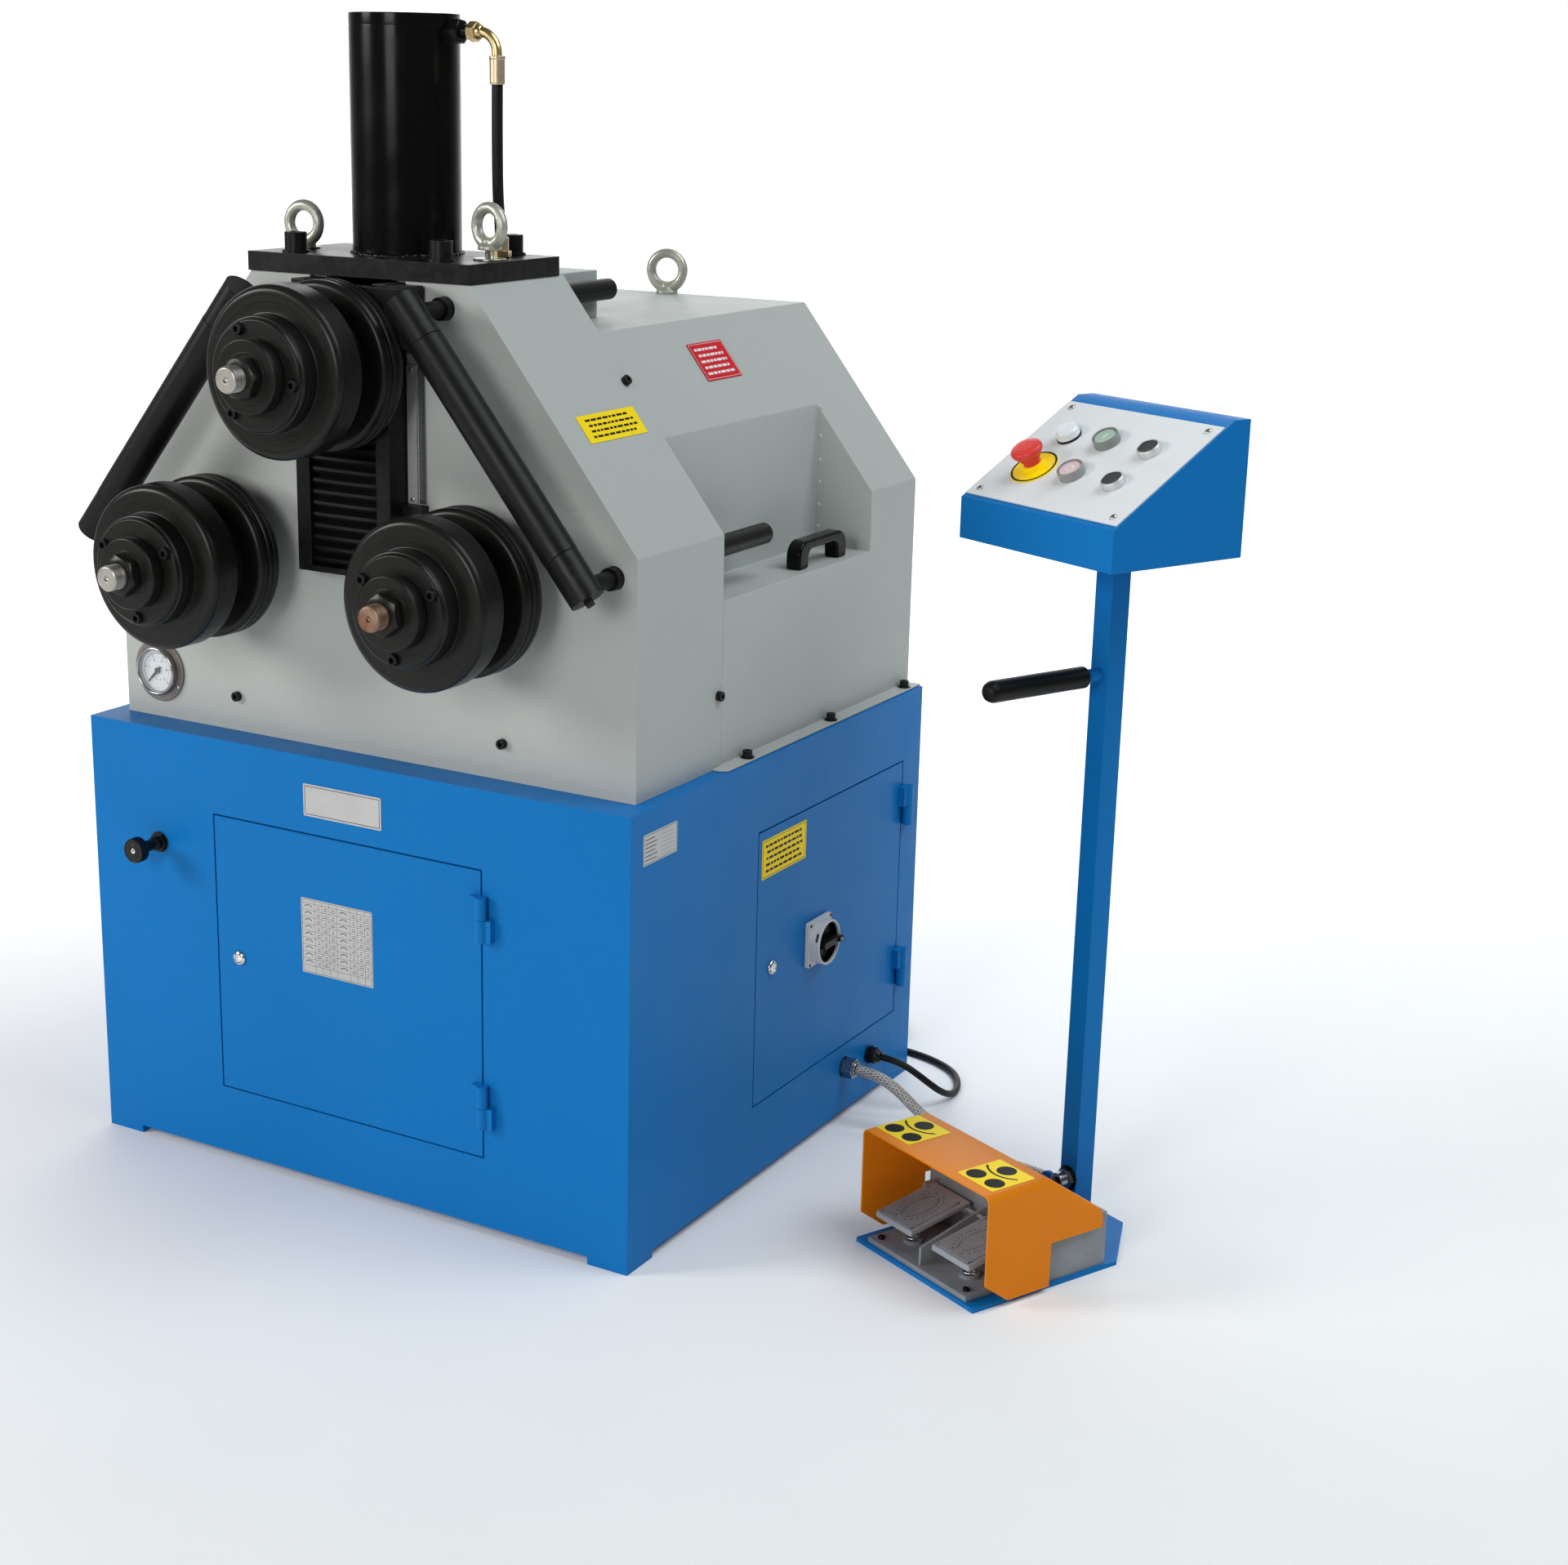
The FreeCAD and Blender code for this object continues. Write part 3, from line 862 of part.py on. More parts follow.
# ---------------------------------------------------------------- foot pedal
ped_mid = P("pedal_middle", 30, "middle of the pedal, to the right of the post")
ped_half = P("pedal_half_width", 97, "half width of the pedal base")
ped_pivot = P("pedal_pivot_height", 58, "treadle pivot above the floor")
wells = ((ped_mid - 56, -256), (ped_mid + 56, -256))
pb = fuse(box(ped_mid - ped_half, ped_mid + ped_half, -297, -80, 6.05, 13, "PedalPlate"),
          box(ped_mid - 112, ped_mid + 112, -184, -80, 6.05, 78, "PedalHousing"),
          *[cyl(ped_mid + e_ * 111, w_, 72, 5, 10.4, "x" if e_ > 0 else "-x", "GuardSpacer") for e_ in (-1, 1) for w_ in (-112, -170)],
          *[cyl(u_, w_, 12, 13, 5, "z", "SpringBoss") for u_, w_ in wells],
          prism([(-291, 12), (-180, 12), (-180, 66), (-196, 64), (-291, 37)], 4, role="YZ_Plane", name="PedalFin"),
          box(ped_mid - ped_half, ped_mid - ped_half + 4.6, -208, -180, 12, 68, "PedalEarLeft"),
          box(ped_mid + ped_half - 4.6, ped_mid + ped_half, -208, -180, 12, 68, "PedalEarRight"),
          name="PedalBaseBlank")
for o in pb.Shapes:
    if o.Name.startswith("PedalFin"):
        place(o, ped_mid - 2, 0, 0)
pivot = cyl(ped_mid - ped_half + 1, -198, ped_pivot, 3, ped_half * 2 - 2, "x", "PedalPin")
pb = cut(fuse(pb, pivot, name="PedalBaseFull"), *[cyl(u_, w_, 8, 9, 30, "z", "SpringWell") for u_, w_ in wells], name="PedalBase")
stand_node(pb, "pedal_base")


def pedal(label, r0, r1):
    # drawn about the pivot, local y forward-back, z up
    tread = prism([(-92, -17), (-92, -8), (-4, 9), (7, 9), (7, 1), (-6, 0)], r1 - r0, role="YZ_Plane", name=label + "Tread")
    hub = cyl(0, 0, 0, 6, r1 - r0, "x", label + "Hub")
    ribs = [box(1.5, r1 - r0 - 1.5, -0.9, 0.9, 0, 1.4, label + "Rib") for _ in range(16)]
    for i, rb in enumerate(ribs):
        t = (i + 0.7) / 16.4
        rb.Placement = FreeCAD.Placement(V(1.5, -92 + 88 * t, -8.3 + 17 * t), FreeCAD.Rotation(V(1, 0, 0), math.degrees(math.atan2(17, 88))))
    for rb in ribs:
        for e in (".Placement.Base.x", ".Placement.Base.y", ".Placement.Base.z"):
            rb.setExpression(e, None)
    b = cut(fuse(tread, hub, *ribs, name=label + "Blank"), cyl(-1, 0, 0, 3 + run_gap.v, r1 - r0 + 2, "x", label + "Bore"), name=label + "Cut")
    off = STAND_ROT.multVec(V(r0, -198, ped_pivot.v))
    return node(b, label, stand_x.v + off.x, stand_y.v + off.y - HALF, ped_pivot.v, STAND_ROT)


pedal("left_pedal", -62.0, 10.0)
pedal("right_pedal", 50.0, 122.0)

gpts = [(-290, 154), (-190, 154), (-98, 90), (-98, 66), (-184, 66), (-184, 7.5), (-252, 7.5), (-290, 36)]
go = prism(gpts, 248, role="YZ_Plane", name="GuardOutside")
place(go, ped_mid - 124, 0, 0)
go = fillet(go, lambda e: e.Length > 60 and e.BoundBox.XLength < 0.01 and abs(abs(e.CenterOfMass.x - ped_mid.v) - 124) < 0.01 and e.CenterOfMass.z > 112, 10, "GuardRound")
gi = prism([(-300, 151.5), (-191, 151.5), (-96, 85.4), (-82, 0), (-300, 0)], 243, role="YZ_Plane", name="GuardInside")
place(gi, ped_mid - 121.5, 0, 0)
gi = fillet(gi, lambda e: e.Length > 60 and e.BoundBox.XLength < 0.01 and abs(abs(e.CenterOfMass.x - ped_mid.v) - 121.5) < 0.01 and e.CenterOfMass.z > 112, 7.5, "GuardInsideRound")
stand_node(cut(go, gi, name="Guard"), "pedal_guard")

# ---------------------------------------------------------------- cords
CONDUIT = [(456, 584, 78), (481, 584.3, 76.8), (505, 586, 68.5), (527, 588.5, 53.5), (549, 590.5, 35), (575, 590, 20.2), (606, 583.5, 11.4), (640, 571, 8.5),
           (678, 554.5, 8.7), (716, 538, 12.8), (750, 522.5, 19.8), (780, 508, 24.5), stand_pt(-38, 0, 26)]
cd = tube(CONDUIT, 8.0, "control_conduit")
node(feature(cd, "Conduit"), "control_conduit")

MAINS = [(457, 659, 72), (479, 659.6, 70.6), (498, 663, 63.5), (513.5, 669.5, 52), (527, 679, 38.5), (536, 693, 25), (540, 711.5, 14.2), (540, 733, 6.8),
         (536, 756.5, 5.3), (526.5, 779, 5.5), (513.5, 800, 5.3), (497, 816, 5.5), (477, 829, 5.3), (453, 839, 5.5), (426, 846.5, 5.3), (396, 849.5, 5.5), (364, 851.5, 5.3),
         (334, 852, 5.3)]
coil_x, coil_y, coil_out, coil_in, coil_high = 300, 912, 65, 45, 40
coil_core = Part.makeCylinder(coil_out, 60, V(coil_x, coil_y, -5))
mc = tube(MAINS, 5.0, "mains_cable").cut(coil_core)
tail = Part.makeCylinder(5.0, 60, V(301, 852, 27.3), V(-1, 0, 0)).cut(coil_core)
tail = Part.makeCompound([t for t in tail.Solids if t.CenterOfMass.x < 300])
print("mains tail", [round(t.Volume) for t in tail.Solids], "main", [round(t.Volume) for t in mc.Solids])
node(feature(Part.makeCompound([mc.Solids[0], tail.Solids[0]]), "Mains"), "mains_cable")
coil = cut(cyl(coil_x, coil_y, 0.3, coil_out, coil_high, "z", "CoilOuter"), cyl(coil_x, coil_y, -1, coil_in, 60, "z", "CoilInner"), name="Coil")
node(coil, "mains_coil")
plug = lathe([(0, 0), (8, 0), (11, 26), (21, 36), (23, 40), (23, 82), (27, 86), (27, 122), (24, 122), (24, 96), (0, 96)], "PlugBody")
pins = [cyl(15 * math.cos(math.radians(a)), 15 * math.sin(math.radians(a)), 95, 2.8, 22, "z", "PlugPin") for a in (90, 162, 234, 306, 18)]
pg = group(fuse(plug, *pins, name="PlugFuse"), name="Plug")
node(pg, "mains_plug", 241, 852 - HALF, 27.3, FreeCAD.Rotation(V(0, 1, 0), -90))

# ---------------------------------------------------------------- write
doc.recompute()
bad = [o.Name for o in doc.Objects if any(s in ("Invalid", "Error") for s in o.State)]
if bad:
    raise RuntimeError("failed objects: %s" % bad)
os.makedirs("parts", exist_ok=True)
for f in os.listdir("parts"):
    if f.endswith(".step"):
        os.remove(os.path.join("parts", f))
for label, o in NODES.items():
    s = o.Shape
    if s.isNull() or not s.isValid() or s.Volume <= 0:
        raise RuntimeError("bad shape: " + label)
    s.exportStep(os.path.join("parts", label + ".step"))
print(len(NODES), "sub-parts")
for label, o in NODES.items():
    b = o.Shape.BoundBox
    print("%-22s solids %3d  vol %10.0f  x %8.1f %8.1f  y %8.1f %8.1f  z %8.1f %8.1f" % (label, len(o.Shape.Solids), o.Shape.Volume, b.XMin, b.XMax, b.YMin, b.YMax, b.ZMin, b.ZMax))
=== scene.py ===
import json
import math
import random
import bmesh
import bpy
from mathutils import Matrix, Vector, noise

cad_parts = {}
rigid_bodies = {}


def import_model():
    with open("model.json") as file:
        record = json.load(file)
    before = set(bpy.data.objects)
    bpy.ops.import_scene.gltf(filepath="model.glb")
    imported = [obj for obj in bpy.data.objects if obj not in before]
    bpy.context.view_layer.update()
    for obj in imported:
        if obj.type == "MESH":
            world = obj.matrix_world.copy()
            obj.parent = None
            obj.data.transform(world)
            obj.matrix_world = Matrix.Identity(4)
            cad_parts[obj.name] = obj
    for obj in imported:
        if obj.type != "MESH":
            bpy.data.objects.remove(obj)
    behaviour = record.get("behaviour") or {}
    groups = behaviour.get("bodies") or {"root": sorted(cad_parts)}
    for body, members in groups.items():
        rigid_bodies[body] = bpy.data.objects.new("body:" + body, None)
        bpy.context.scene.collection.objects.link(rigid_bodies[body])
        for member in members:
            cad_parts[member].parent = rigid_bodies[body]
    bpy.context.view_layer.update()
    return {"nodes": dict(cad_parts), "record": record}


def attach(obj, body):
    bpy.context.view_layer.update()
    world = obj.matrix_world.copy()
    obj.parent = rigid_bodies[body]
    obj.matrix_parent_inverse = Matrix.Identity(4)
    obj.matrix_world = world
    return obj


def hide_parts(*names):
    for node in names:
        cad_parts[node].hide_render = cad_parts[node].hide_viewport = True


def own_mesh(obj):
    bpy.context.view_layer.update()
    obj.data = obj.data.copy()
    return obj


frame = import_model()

random.seed(7)
HALF = 397.5
BODY = {n: b for b, ns in frame["record"]["behaviour"]["bodies"].items() for n in ns}
col = bpy.context.scene.collection


def P(x, y, z):
    """Millimetres behind the cabinet's front face to metres in the row frame."""
    return Vector((x / 1000.0, (y - HALF) / 1000.0, z / 1000.0))


# ------------------------------------------------------------------ camera
F, CX, CY = 3041.42, 867.77, 935.94
AZ, EL, ROLL = math.radians(30.234), math.radians(15.70), math.radians(1.0295)
back = Vector((math.sin(AZ) * math.cos(EL), -math.cos(AZ) * math.cos(EL), math.sin(EL)))
right0 = Vector((math.cos(AZ), math.sin(AZ), 0.0))
up0 = back.cross(right0)
right = math.cos(ROLL) * right0 + math.sin(ROLL) * up0
up = -math.sin(ROLL) * right0 + math.cos(ROLL) * up0
cam_data = bpy.data.cameras.new("Camera")
cam = bpy.data.objects.new("Camera", cam_data)
col.objects.link(cam)
cam_data.sensor_width = 36.0
cam_data.lens = F / 1920.0 * 36.0
cam_data.shift_x = (960.0 - CX) / 1920.0
cam_data.shift_y = (CY - 958.0) / 1920.0
cam_data.clip_end = 100.0
cam.matrix_world = Matrix.Translation(P(1935.5, -2395.7, 1462.9)) @ Matrix((right, up, back)).transposed().to_4x4()
bpy.context.scene.camera = cam
bpy.context.scene.view_settings.view_transform = "Standard"


# ------------------------------------------------------------------ materials
class Tree:
    """A short way to write a material's nodes."""

    def __init__(self, name):
        self.m = bpy.data.materials.new(name)
        self.m.use_nodes = True
        self.t = self.m.node_tree
        self.t.nodes.clear()
        self.out = self.t.nodes.new("ShaderNodeOutputMaterial")
        self.b = self.t.nodes.new("ShaderNodeBsdfPrincipled")
        self.t.links.new(self.b.outputs[0], self.out.inputs[0])
        self.obj = self.node("ShaderNodeTexCoord").outputs["Object"]

    def node(self, kind, props=None, **ins):
        n = self.t.nodes.new(kind)
        for k, v in (props or {}).items():
            setattr(n, k, v)
        for k, v in ins.items():
            self.put(n.inputs[int(k[1:])] if k[0] == "i" and k[1:].isdigit() else n.inputs[k.replace("_", " ")], v)
        return n

    def put(self, socket, v):
        if isinstance(v, bpy.types.NodeSocket):
            self.t.links.new(v, socket)
        else:
            socket.default_value = v

    def noise(self, scale, detail=3.0, rough=0.5, vec=None):
        return self.node("ShaderNodeTexNoise", Vector=vec or self.obj, Scale=scale, Detail=detail, Roughness=rough).outputs["Fac"]

    def scaled(self, sx, sy, sz, vec=None):
        return self.node("ShaderNodeMapping", Vector=vec or self.obj, Scale=(sx, sy, sz)).outputs[0]

    def span(self, v, a0, a1, b0, b1):
        return self.node("ShaderNodeMapRange", i0=v, i1=a0, i2=a1, i3=b0, i4=b1).outputs[0]

    def mix(self, f, a, b, kind="MIX"):
        n = self.node("ShaderNodeMix", {"data_type": "RGBA", "blend_type": kind})
        self.put(n.inputs[0], f)
        self.put(n.inputs[6], a if isinstance(a, bpy.types.NodeSocket) else (*a, 1.0))
        self.put(n.inputs[7], b if isinstance(b, bpy.types.NodeSocket) else (*b, 1.0))
        return n.outputs[2]

    def math(self, op, a, b=0.0, c=0.0):
        return self.node("ShaderNodeMath", {"operation": op}, i0=a, i1=b, i2=c).outputs[0]

    def bump(self, height, strength, dist=0.001, normal=None):
        n = self.node("ShaderNodeBump", Strength=strength, Distance=dist, Height=height)
        if normal is not None:
            self.put(n.inputs["Normal"], normal)
        return n.outputs[0]

    def radius(self):
        """Distance from the object's own Y axis."""
        s = self.node("ShaderNodeSeparateXYZ", Vector=self.obj)
        return self.math("SQRT", self.math("ADD", self.math("MULTIPLY", s.outputs[0], s.outputs[0]), self.math("MULTIPLY", s.outputs[2], s.outputs[2]))), s

    def finish(self, **ins):
        for k, v in ins.items():
            self.put(self.b.inputs[k.replace("_", " ")], v if isinstance(v, (bpy.types.NodeSocket, float, int)) else (*v, 1.0))
        return self.m


def shade(c, k):
    return tuple(min(1.0, v * k) for v in c)


def paint(name, base, rough=0.35, peel=0.12, var=0.10, coat=0.0, dust=0.0, edge=0.0, edge_col=(0.3, 0.3, 0.3), metallic=0.0, peel_scale=420.0, spec=0.5):
    t = Tree(name)
    big = t.span(t.noise(2.2, 3.0), 0.3, 0.7, 0.0, 1.0)
    c = t.mix(big, shade(base, 1.0 - var), shade(base, 1.0 + var * 0.5))
    fine = t.noise(60.0, 6.0, 0.65)
    c = t.mix(t.span(fine, 0.35, 0.75, 0.0, 0.18), c, shade(base, 1.0 - var * 2.0))
    if dust:
        d = t.span(t.noise(9.0, 8.0, 0.7), 0.5, 0.75, 0.0, dust)
        c = t.mix(d, c, (0.36, 0.34, 0.31))
    if edge:
        pt = t.node("ShaderNodeNewGeometry").outputs["Pointiness"]
        worn = t.math("MULTIPLY", t.span(pt, 0.53, 0.60, 0.0, edge), t.span(t.noise(70.0, 5.0, 0.7), 0.40, 0.62, 0.0, 1.0))
        c = t.mix(worn, c, edge_col)
    r = t.span(t.noise(14.0, 5.0, 0.6), 0.25, 0.75, rough - 0.06, rough + 0.09)
    n = t.bump(t.noise(peel_scale, 2.0), peel, 0.0004)
    n = t.bump(t.noise(5.0, 1.0), 0.05, 0.004, n)
    t.finish(Base_Color=c, Roughness=r, Normal=n, Metallic=metallic)
    t.b.inputs["Coat Weight"].default_value = coat
    t.b.inputs["Coat Roughness"].default_value = 0.15
    t.b.inputs["Specular IOR Level"].default_value = spec
    return t.m


def turned(name, base, rough=0.3, metallic=1.0, lines=0.25, tint=None, tint_amount=0.0, spec=0.5, line_scale=900.0, dark=0.82):
    """Turned metal: fine rings round the object's own Y axis."""
    t = Tree(name)
    rad, s = t.radius()
    ring = t.node("ShaderNodeCombineXYZ", X=rad, Y=s.outputs[1]).outputs[0]
    r1 = t.noise(line_scale, 2.0, 0.5, ring)
    r2 = t.noise(line_scale * 0.16, 3.0, 0.5, ring)
    c = t.mix(t.span(r2, 0.3, 0.7, 0.0, 1.0), shade(base, dark), shade(base, 1.0 + (1.0 - dark) * 0.55))
    c = t.mix(t.span(t.noise(18.0, 6.0, 0.65), 0.45, 0.75, 0.0, 0.35), c, shade(base, 0.62))
    if tint:
        c = t.mix(t.span(t.noise(30.0, 6.0, 0.7), 0.40, 0.62, 0.0, tint_amount), c, tint)
    r = t.span(r1, 0.3, 0.7, rough - 0.07, rough + 0.1)
    n = t.bump(r1, lines, 0.0003)
    t.finish(Base_Color=c, Roughness=r, Normal=n, Metallic=metallic)
    t.b.inputs["Specular IOR Level"].default_value = spec
    return t.m


def cast(name, base, rough=0.5, metallic=0.0, grain=0.5, scale=260.0, spot=0.25):
    t = Tree(name)
    c = t.mix(t.span(t.noise(25.0, 5.0, 0.6), 0.3, 0.7, 0.0, 1.0), shade(base, 0.85), shade(base, 1.12))
    c = t.mix(t.span(t.noise(120.0, 4.0, 0.7), 0.55, 0.75, 0.0, spot), c, shade(base, 0.45))
    v = t.node("ShaderNodeTexVoronoi", Vector=t.obj, Scale=scale).outputs["Distance"]
    n = t.bump(v, grain * 0.4, 0.0006)
    n = t.bump(t.noise(scale * 0.5, 4.0, 0.6), grain, 0.0008, n)
    r = t.span(t.noise(40.0, 4.0), 0.3, 0.7, rough - 0.08, rough + 0.1)
    return t.finish(Base_Color=c, Roughness=r, Normal=n, Metallic=metallic)


BLUE = (0.0045, 0.165, 0.475)
GREY = (0.43, 0.452, 0.430)
BLACK = (0.0065, 0.0060, 0.0062)
m_blue = paint("blue_enamel", BLUE, rough=0.36, peel=0.06, var=0.05, spec=0.09)
m_grey = paint("light_grey_enamel", GREY, rough=0.44, peel=0.07, var=0.025, spec=0.22)
m_black = paint("black_enamel", BLACK, rough=0.31, peel=0.05, var=0.12, spec=0.19, edge=0.25, edge_col=(0.04, 0.04, 0.04))
m_gloss_black = paint("gloss_black_enamel", (0.0042, 0.0038, 0.0036), rough=0.17, peel=0.02, var=0.10, spec=0.13)
m_oxide = paint("black_oxide_guides", (0.0052, 0.0052, 0.0052), rough=0.38, peel=0.0, var=0.08, spec=0.18, edge=0.3, edge_col=(0.05, 0.05, 0.048))
m_dark = paint("dark_inside", (0.02, 0.02, 0.022), rough=0.6, var=0.3)
m_roll = turned("black_oxide_rolls", (0.0088, 0.0088, 0.0078), rough=0.30, metallic=0.0, lines=0.02, spec=0.21, tint=(0.013, 0.0120, 0.009), tint_amount=0.3, dark=0.95)
m_bright = turned("turned_steel", (0.52, 0.50, 0.45), rough=0.34, lines=0.35)
m_rusty = turned("turned_steel_tarnished", (0.36, 0.25, 0.18), rough=0.42, lines=0.35, tint=(0.20, 0.085, 0.045), tint_amount=0.8)
m_zinc = cast("zinc_plate", (0.58, 0.57, 0.52), rough=0.32, metallic=1.0, grain=0.12, scale=400.0, spot=0.15)
m_yzinc = cast("yellow_zinc", (0.62, 0.47, 0.22), rough=0.30, metallic=1.0, grain=0.10, scale=300.0, spot=0.2)
m_eye = cast("galvanised_forging", (0.44, 0.44, 0.375), rough=0.36, metallic=0.5, grain=1.0, scale=110.0, spot=0.5)
m_frame = turned("machined_frame_steel", (0.34, 0.34, 0.33), rough=0.4, metallic=1.0, lines=0.15)
m_iron = cast("grey_iron", (0.11, 0.115, 0.12), rough=0.55, grain=0.6)
m_castgrey = cast("pedal_casting", (0.245, 0.262, 0.280), rough=0.45, grain=0.30, scale=320.0, spot=0.12)
m_tread = cast("pedal_tread_casting", (0.305, 0.330, 0.358), rough=0.45, grain=0.15, scale=320.0, spot=0.12)
m_orange = paint("orange_enamel", (0.80, 0.232, 0.008), rough=0.34, peel=0.08, var=0.07, spec=0.08)
m_white = paint("panel_white_enamel", (0.70, 0.72, 0.73), rough=0.45, peel=0.03, var=0.02)
m_plastic = paint("black_plastic", (0.0065, 0.0065, 0.0065), rough=0.30, peel=0.08, var=0.12, peel_scale=900.0, spec=0.26)
m_cap = paint("dark_grey_cap", (0.024, 0.024, 0.026), rough=0.38, peel=0.06, var=0.08, peel_scale=900.0, spec=0.3)
m_rubber = paint("black_rubber", (0.0052, 0.0052, 0.0052), rough=0.42, peel=0.10, var=0.15, peel_scale=500.0, spec=0.20)
m_switch = paint("light_grey_plastic", (0.56, 0.57, 0.58), rough=0.4, peel=0.1, var=0.04, peel_scale=900.0)
m_red = paint("red_plastic", (0.72, 0.050, 0.042), rough=0.28, peel=0.03, var=0.05, spec=0.28)
m_green = paint("green_cap", (0.33, 0.47, 0.37), rough=0.30, peel=0.04, var=0.04, coat=0.2)
m_greengrey = paint("start_shroud", (0.215, 0.24, 0.225), rough=0.34, peel=0.05, var=0.05)
m_pink = paint("stop_cap_face", (0.66, 0.47, 0.49), rough=0.30, peel=0.04, var=0.04, coat=0.2)
m_warmgrey = paint("stop_shroud", (0.27, 0.275, 0.262), rough=0.34, peel=0.05, var=0.05)
m_tan = cast("tan_passivated_steel", (0.62, 0.50, 0.34), rough=0.36, metallic=0.8, grain=0.10, scale=300.0, spot=0.15)
m_alu = turned("satin_aluminium", (0.70, 0.70, 0.70), rough=0.36, metallic=0.85, lines=0.06)
# painted shade: a near-black colour that stands for the shade in the rib gaps and oval cut lines of the pedal treads
m_tread_shade = cast("tread_gaps_painted_shade", (0.090, 0.088, 0.090), rough=0.55, grain=0.4)
m_lamp = paint("lamp_lens", (0.74, 0.78, 0.80), rough=0.22, peel=0.04, var=0.03, coat=0.3)
m_yellow = paint("yellow_print", (1.0, 0.72, 0.003), rough=0.40, peel=0.02, var=0.02, spec=0.14)
m_redlabel = paint("red_print", (0.60, 0.010, 0.020), rough=0.42, peel=0.02, var=0.03, spec=0.12)
m_ink = paint("black_print", (0.006, 0.006, 0.006), rough=0.42, peel=0.02, var=0.1, spec=0.08)
m_bellows = paint("bellows_fabric", (0.0042, 0.0042, 0.0046), rough=0.55, peel=0.2, var=0.15, peel_scale=700.0, spec=0.12)
m_darkplastic = paint("switch_black_plastic", (0.0060, 0.0060, 0.0060), rough=0.34, peel=0.05, var=0.1, peel_scale=900.0, spec=0.14)
m_nickel = turned("nickel_plated_gland", (0.34, 0.35, 0.36), rough=0.22, metallic=1.0, lines=0.03)
m_whiteink = paint("white_print", (0.78, 0.78, 0.78), rough=0.5, peel=0.02, var=0.03)
m_dial = paint("dial_white", (0.66, 0.70, 0.725), rough=0.5, peel=0.02, var=0.02, spec=0.2)
m_flange = cast("gauge_flange_steel", (0.205, 0.180, 0.160), rough=0.36, metallic=0.35, grain=0.08, scale=300.0, spot=0.1)
m_bezel = turned("gauge_bezel_steel", (0.40, 0.40, 0.40), rough=0.20, metallic=1.0, lines=0.04)
m_spot = paint("weld_dimple_paint", (0.56, 0.58, 0.56), rough=0.40, peel=0.05, var=0.03, spec=0.3)


def plate_material(name, base):
    """Brushed aluminium label plate, brushed along X."""
    t = Tree(name)
    g = t.noise(1.0, 3.0, 0.6, t.scaled(8.0, 8.0, 1500.0))
    c = t.mix(t.span(g, 0.3, 0.7, 0.0, 1.0), shade(base, 0.88), shade(base, 1.08))
    return t.finish(Base_Color=c, Roughness=t.span(g, 0.3, 0.7, 0.34, 0.46), Normal=t.bump(g, 0.12, 0.0002), Metallic=0.35)


m_plate = plate_material("brushed_aluminium_plate", (0.52, 0.52, 0.51))
m_scale = plate_material("brushed_scale_strip", (0.46, 0.46, 0.44))
m_scaledark = plate_material("dark_scale_band", (0.070, 0.070, 0.070))
m_tick = paint("scale_ticks", (0.34, 0.34, 0.34), rough=0.5, var=0.05)


def braid_material():
    """Round-wire steel braid from the tube's own UVs: u runs along in metres, v round."""
    t = Tree("steel_braid")
    uv = t.node("ShaderNodeUVMap").outputs[0]
    s = t.node("ShaderNodeSeparateXYZ", Vector=uv)
    u, v = s.outputs[0], s.outputs[1]
    a = t.math("SINE", t.math("MULTIPLY", t.math("ADD", t.math("MULTIPLY", u, 95.0), t.math("MULTIPLY", v, 12.0)), 6.28318))
    b = t.math("SINE", t.math("MULTIPLY", t.math("SUBTRACT", t.math("MULTIPLY", u, 95.0), t.math("MULTIPLY", v, 12.0)), 6.28318))
    fine = t.math("SINE", t.math("MULTIPLY", t.math("ADD", t.math("MULTIPLY", u, 1400.0), t.math("MULTIPLY", v, 60.0)), 6.28318))
    h = t.math("ADD", t.math("MAXIMUM", a, b), t.math("MULTIPLY", fine, 0.10))
    # painted shade: the colour darkens from the wire crests down into the valleys between the wires
    c = t.mix(t.span(h, -0.4, 1.1, 0.0, 1.0), (0.13, 0.112, 0.100), (0.62, 0.585, 0.55))
    c = t.mix(t.span(t.noise(60.0, 4.0), 0.5, 0.75, 0.0, 0.3), c, (0.42, 0.34, 0.29))
    return t.finish(Base_Color=c, Roughness=0.34, Normal=t.bump(h, 0.6, 0.0007), Metallic=0.8)


m_braid = braid_material()


# ------------------------------------------------------------------ mesh tools
def link(name, mesh, mat, node=None, body=None, place=None, weighted=True, also=()):
    """Puts a mesh in the scene as a piece that rides on its body. If node is
    given, it also stands for that CAD node."""
    o = bpy.data.objects.new(name, mesh)
    col.objects.link(o)
    if place is not None:
        o.matrix_world = place
    for m in (mat if isinstance(mat, (list, tuple)) else [mat]):
        mesh.materials.append(m)
    if weighted:
        w = o.modifiers.new("Normals", "WEIGHTED_NORMAL")
        w.keep_sharp = True
        w.weight = 80
    names = ([node] if isinstance(node, str) else list(node or [])) + list(also)
    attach(o, body or BODY[names[0]])
    if names:
        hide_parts(*names)
    return o


def shade_bm(bm, sharp=38.0):
    lim = math.radians(sharp)
    for f in bm.faces:
        f.smooth = True
    for e in bm.edges:
        if len(e.link_faces) == 2:
            e.smooth = e.calc_face_angle(0.0) < lim


def to_mesh(bm, name, sharp=38.0):
    bm.normal_update()
    shade_bm(bm, sharp)
    me = bpy.data.meshes.new(name)
    bm.to_mesh(me)
    bm.free()
    return me


def bevel(bm, width, seg=2, angle=32.0, only=None):
    bm.normal_update()
    lim = math.radians(angle)
    es = [e for e in bm.edges if len(e.link_faces) == 2 and e.calc_face_angle(0.0) > lim and (only is None or only(e))]
    if es:
        bmesh.ops.bevel(bm, geom=es, offset=width, segments=seg, profile=0.5, affect="EDGES", clamp_overlap=True)


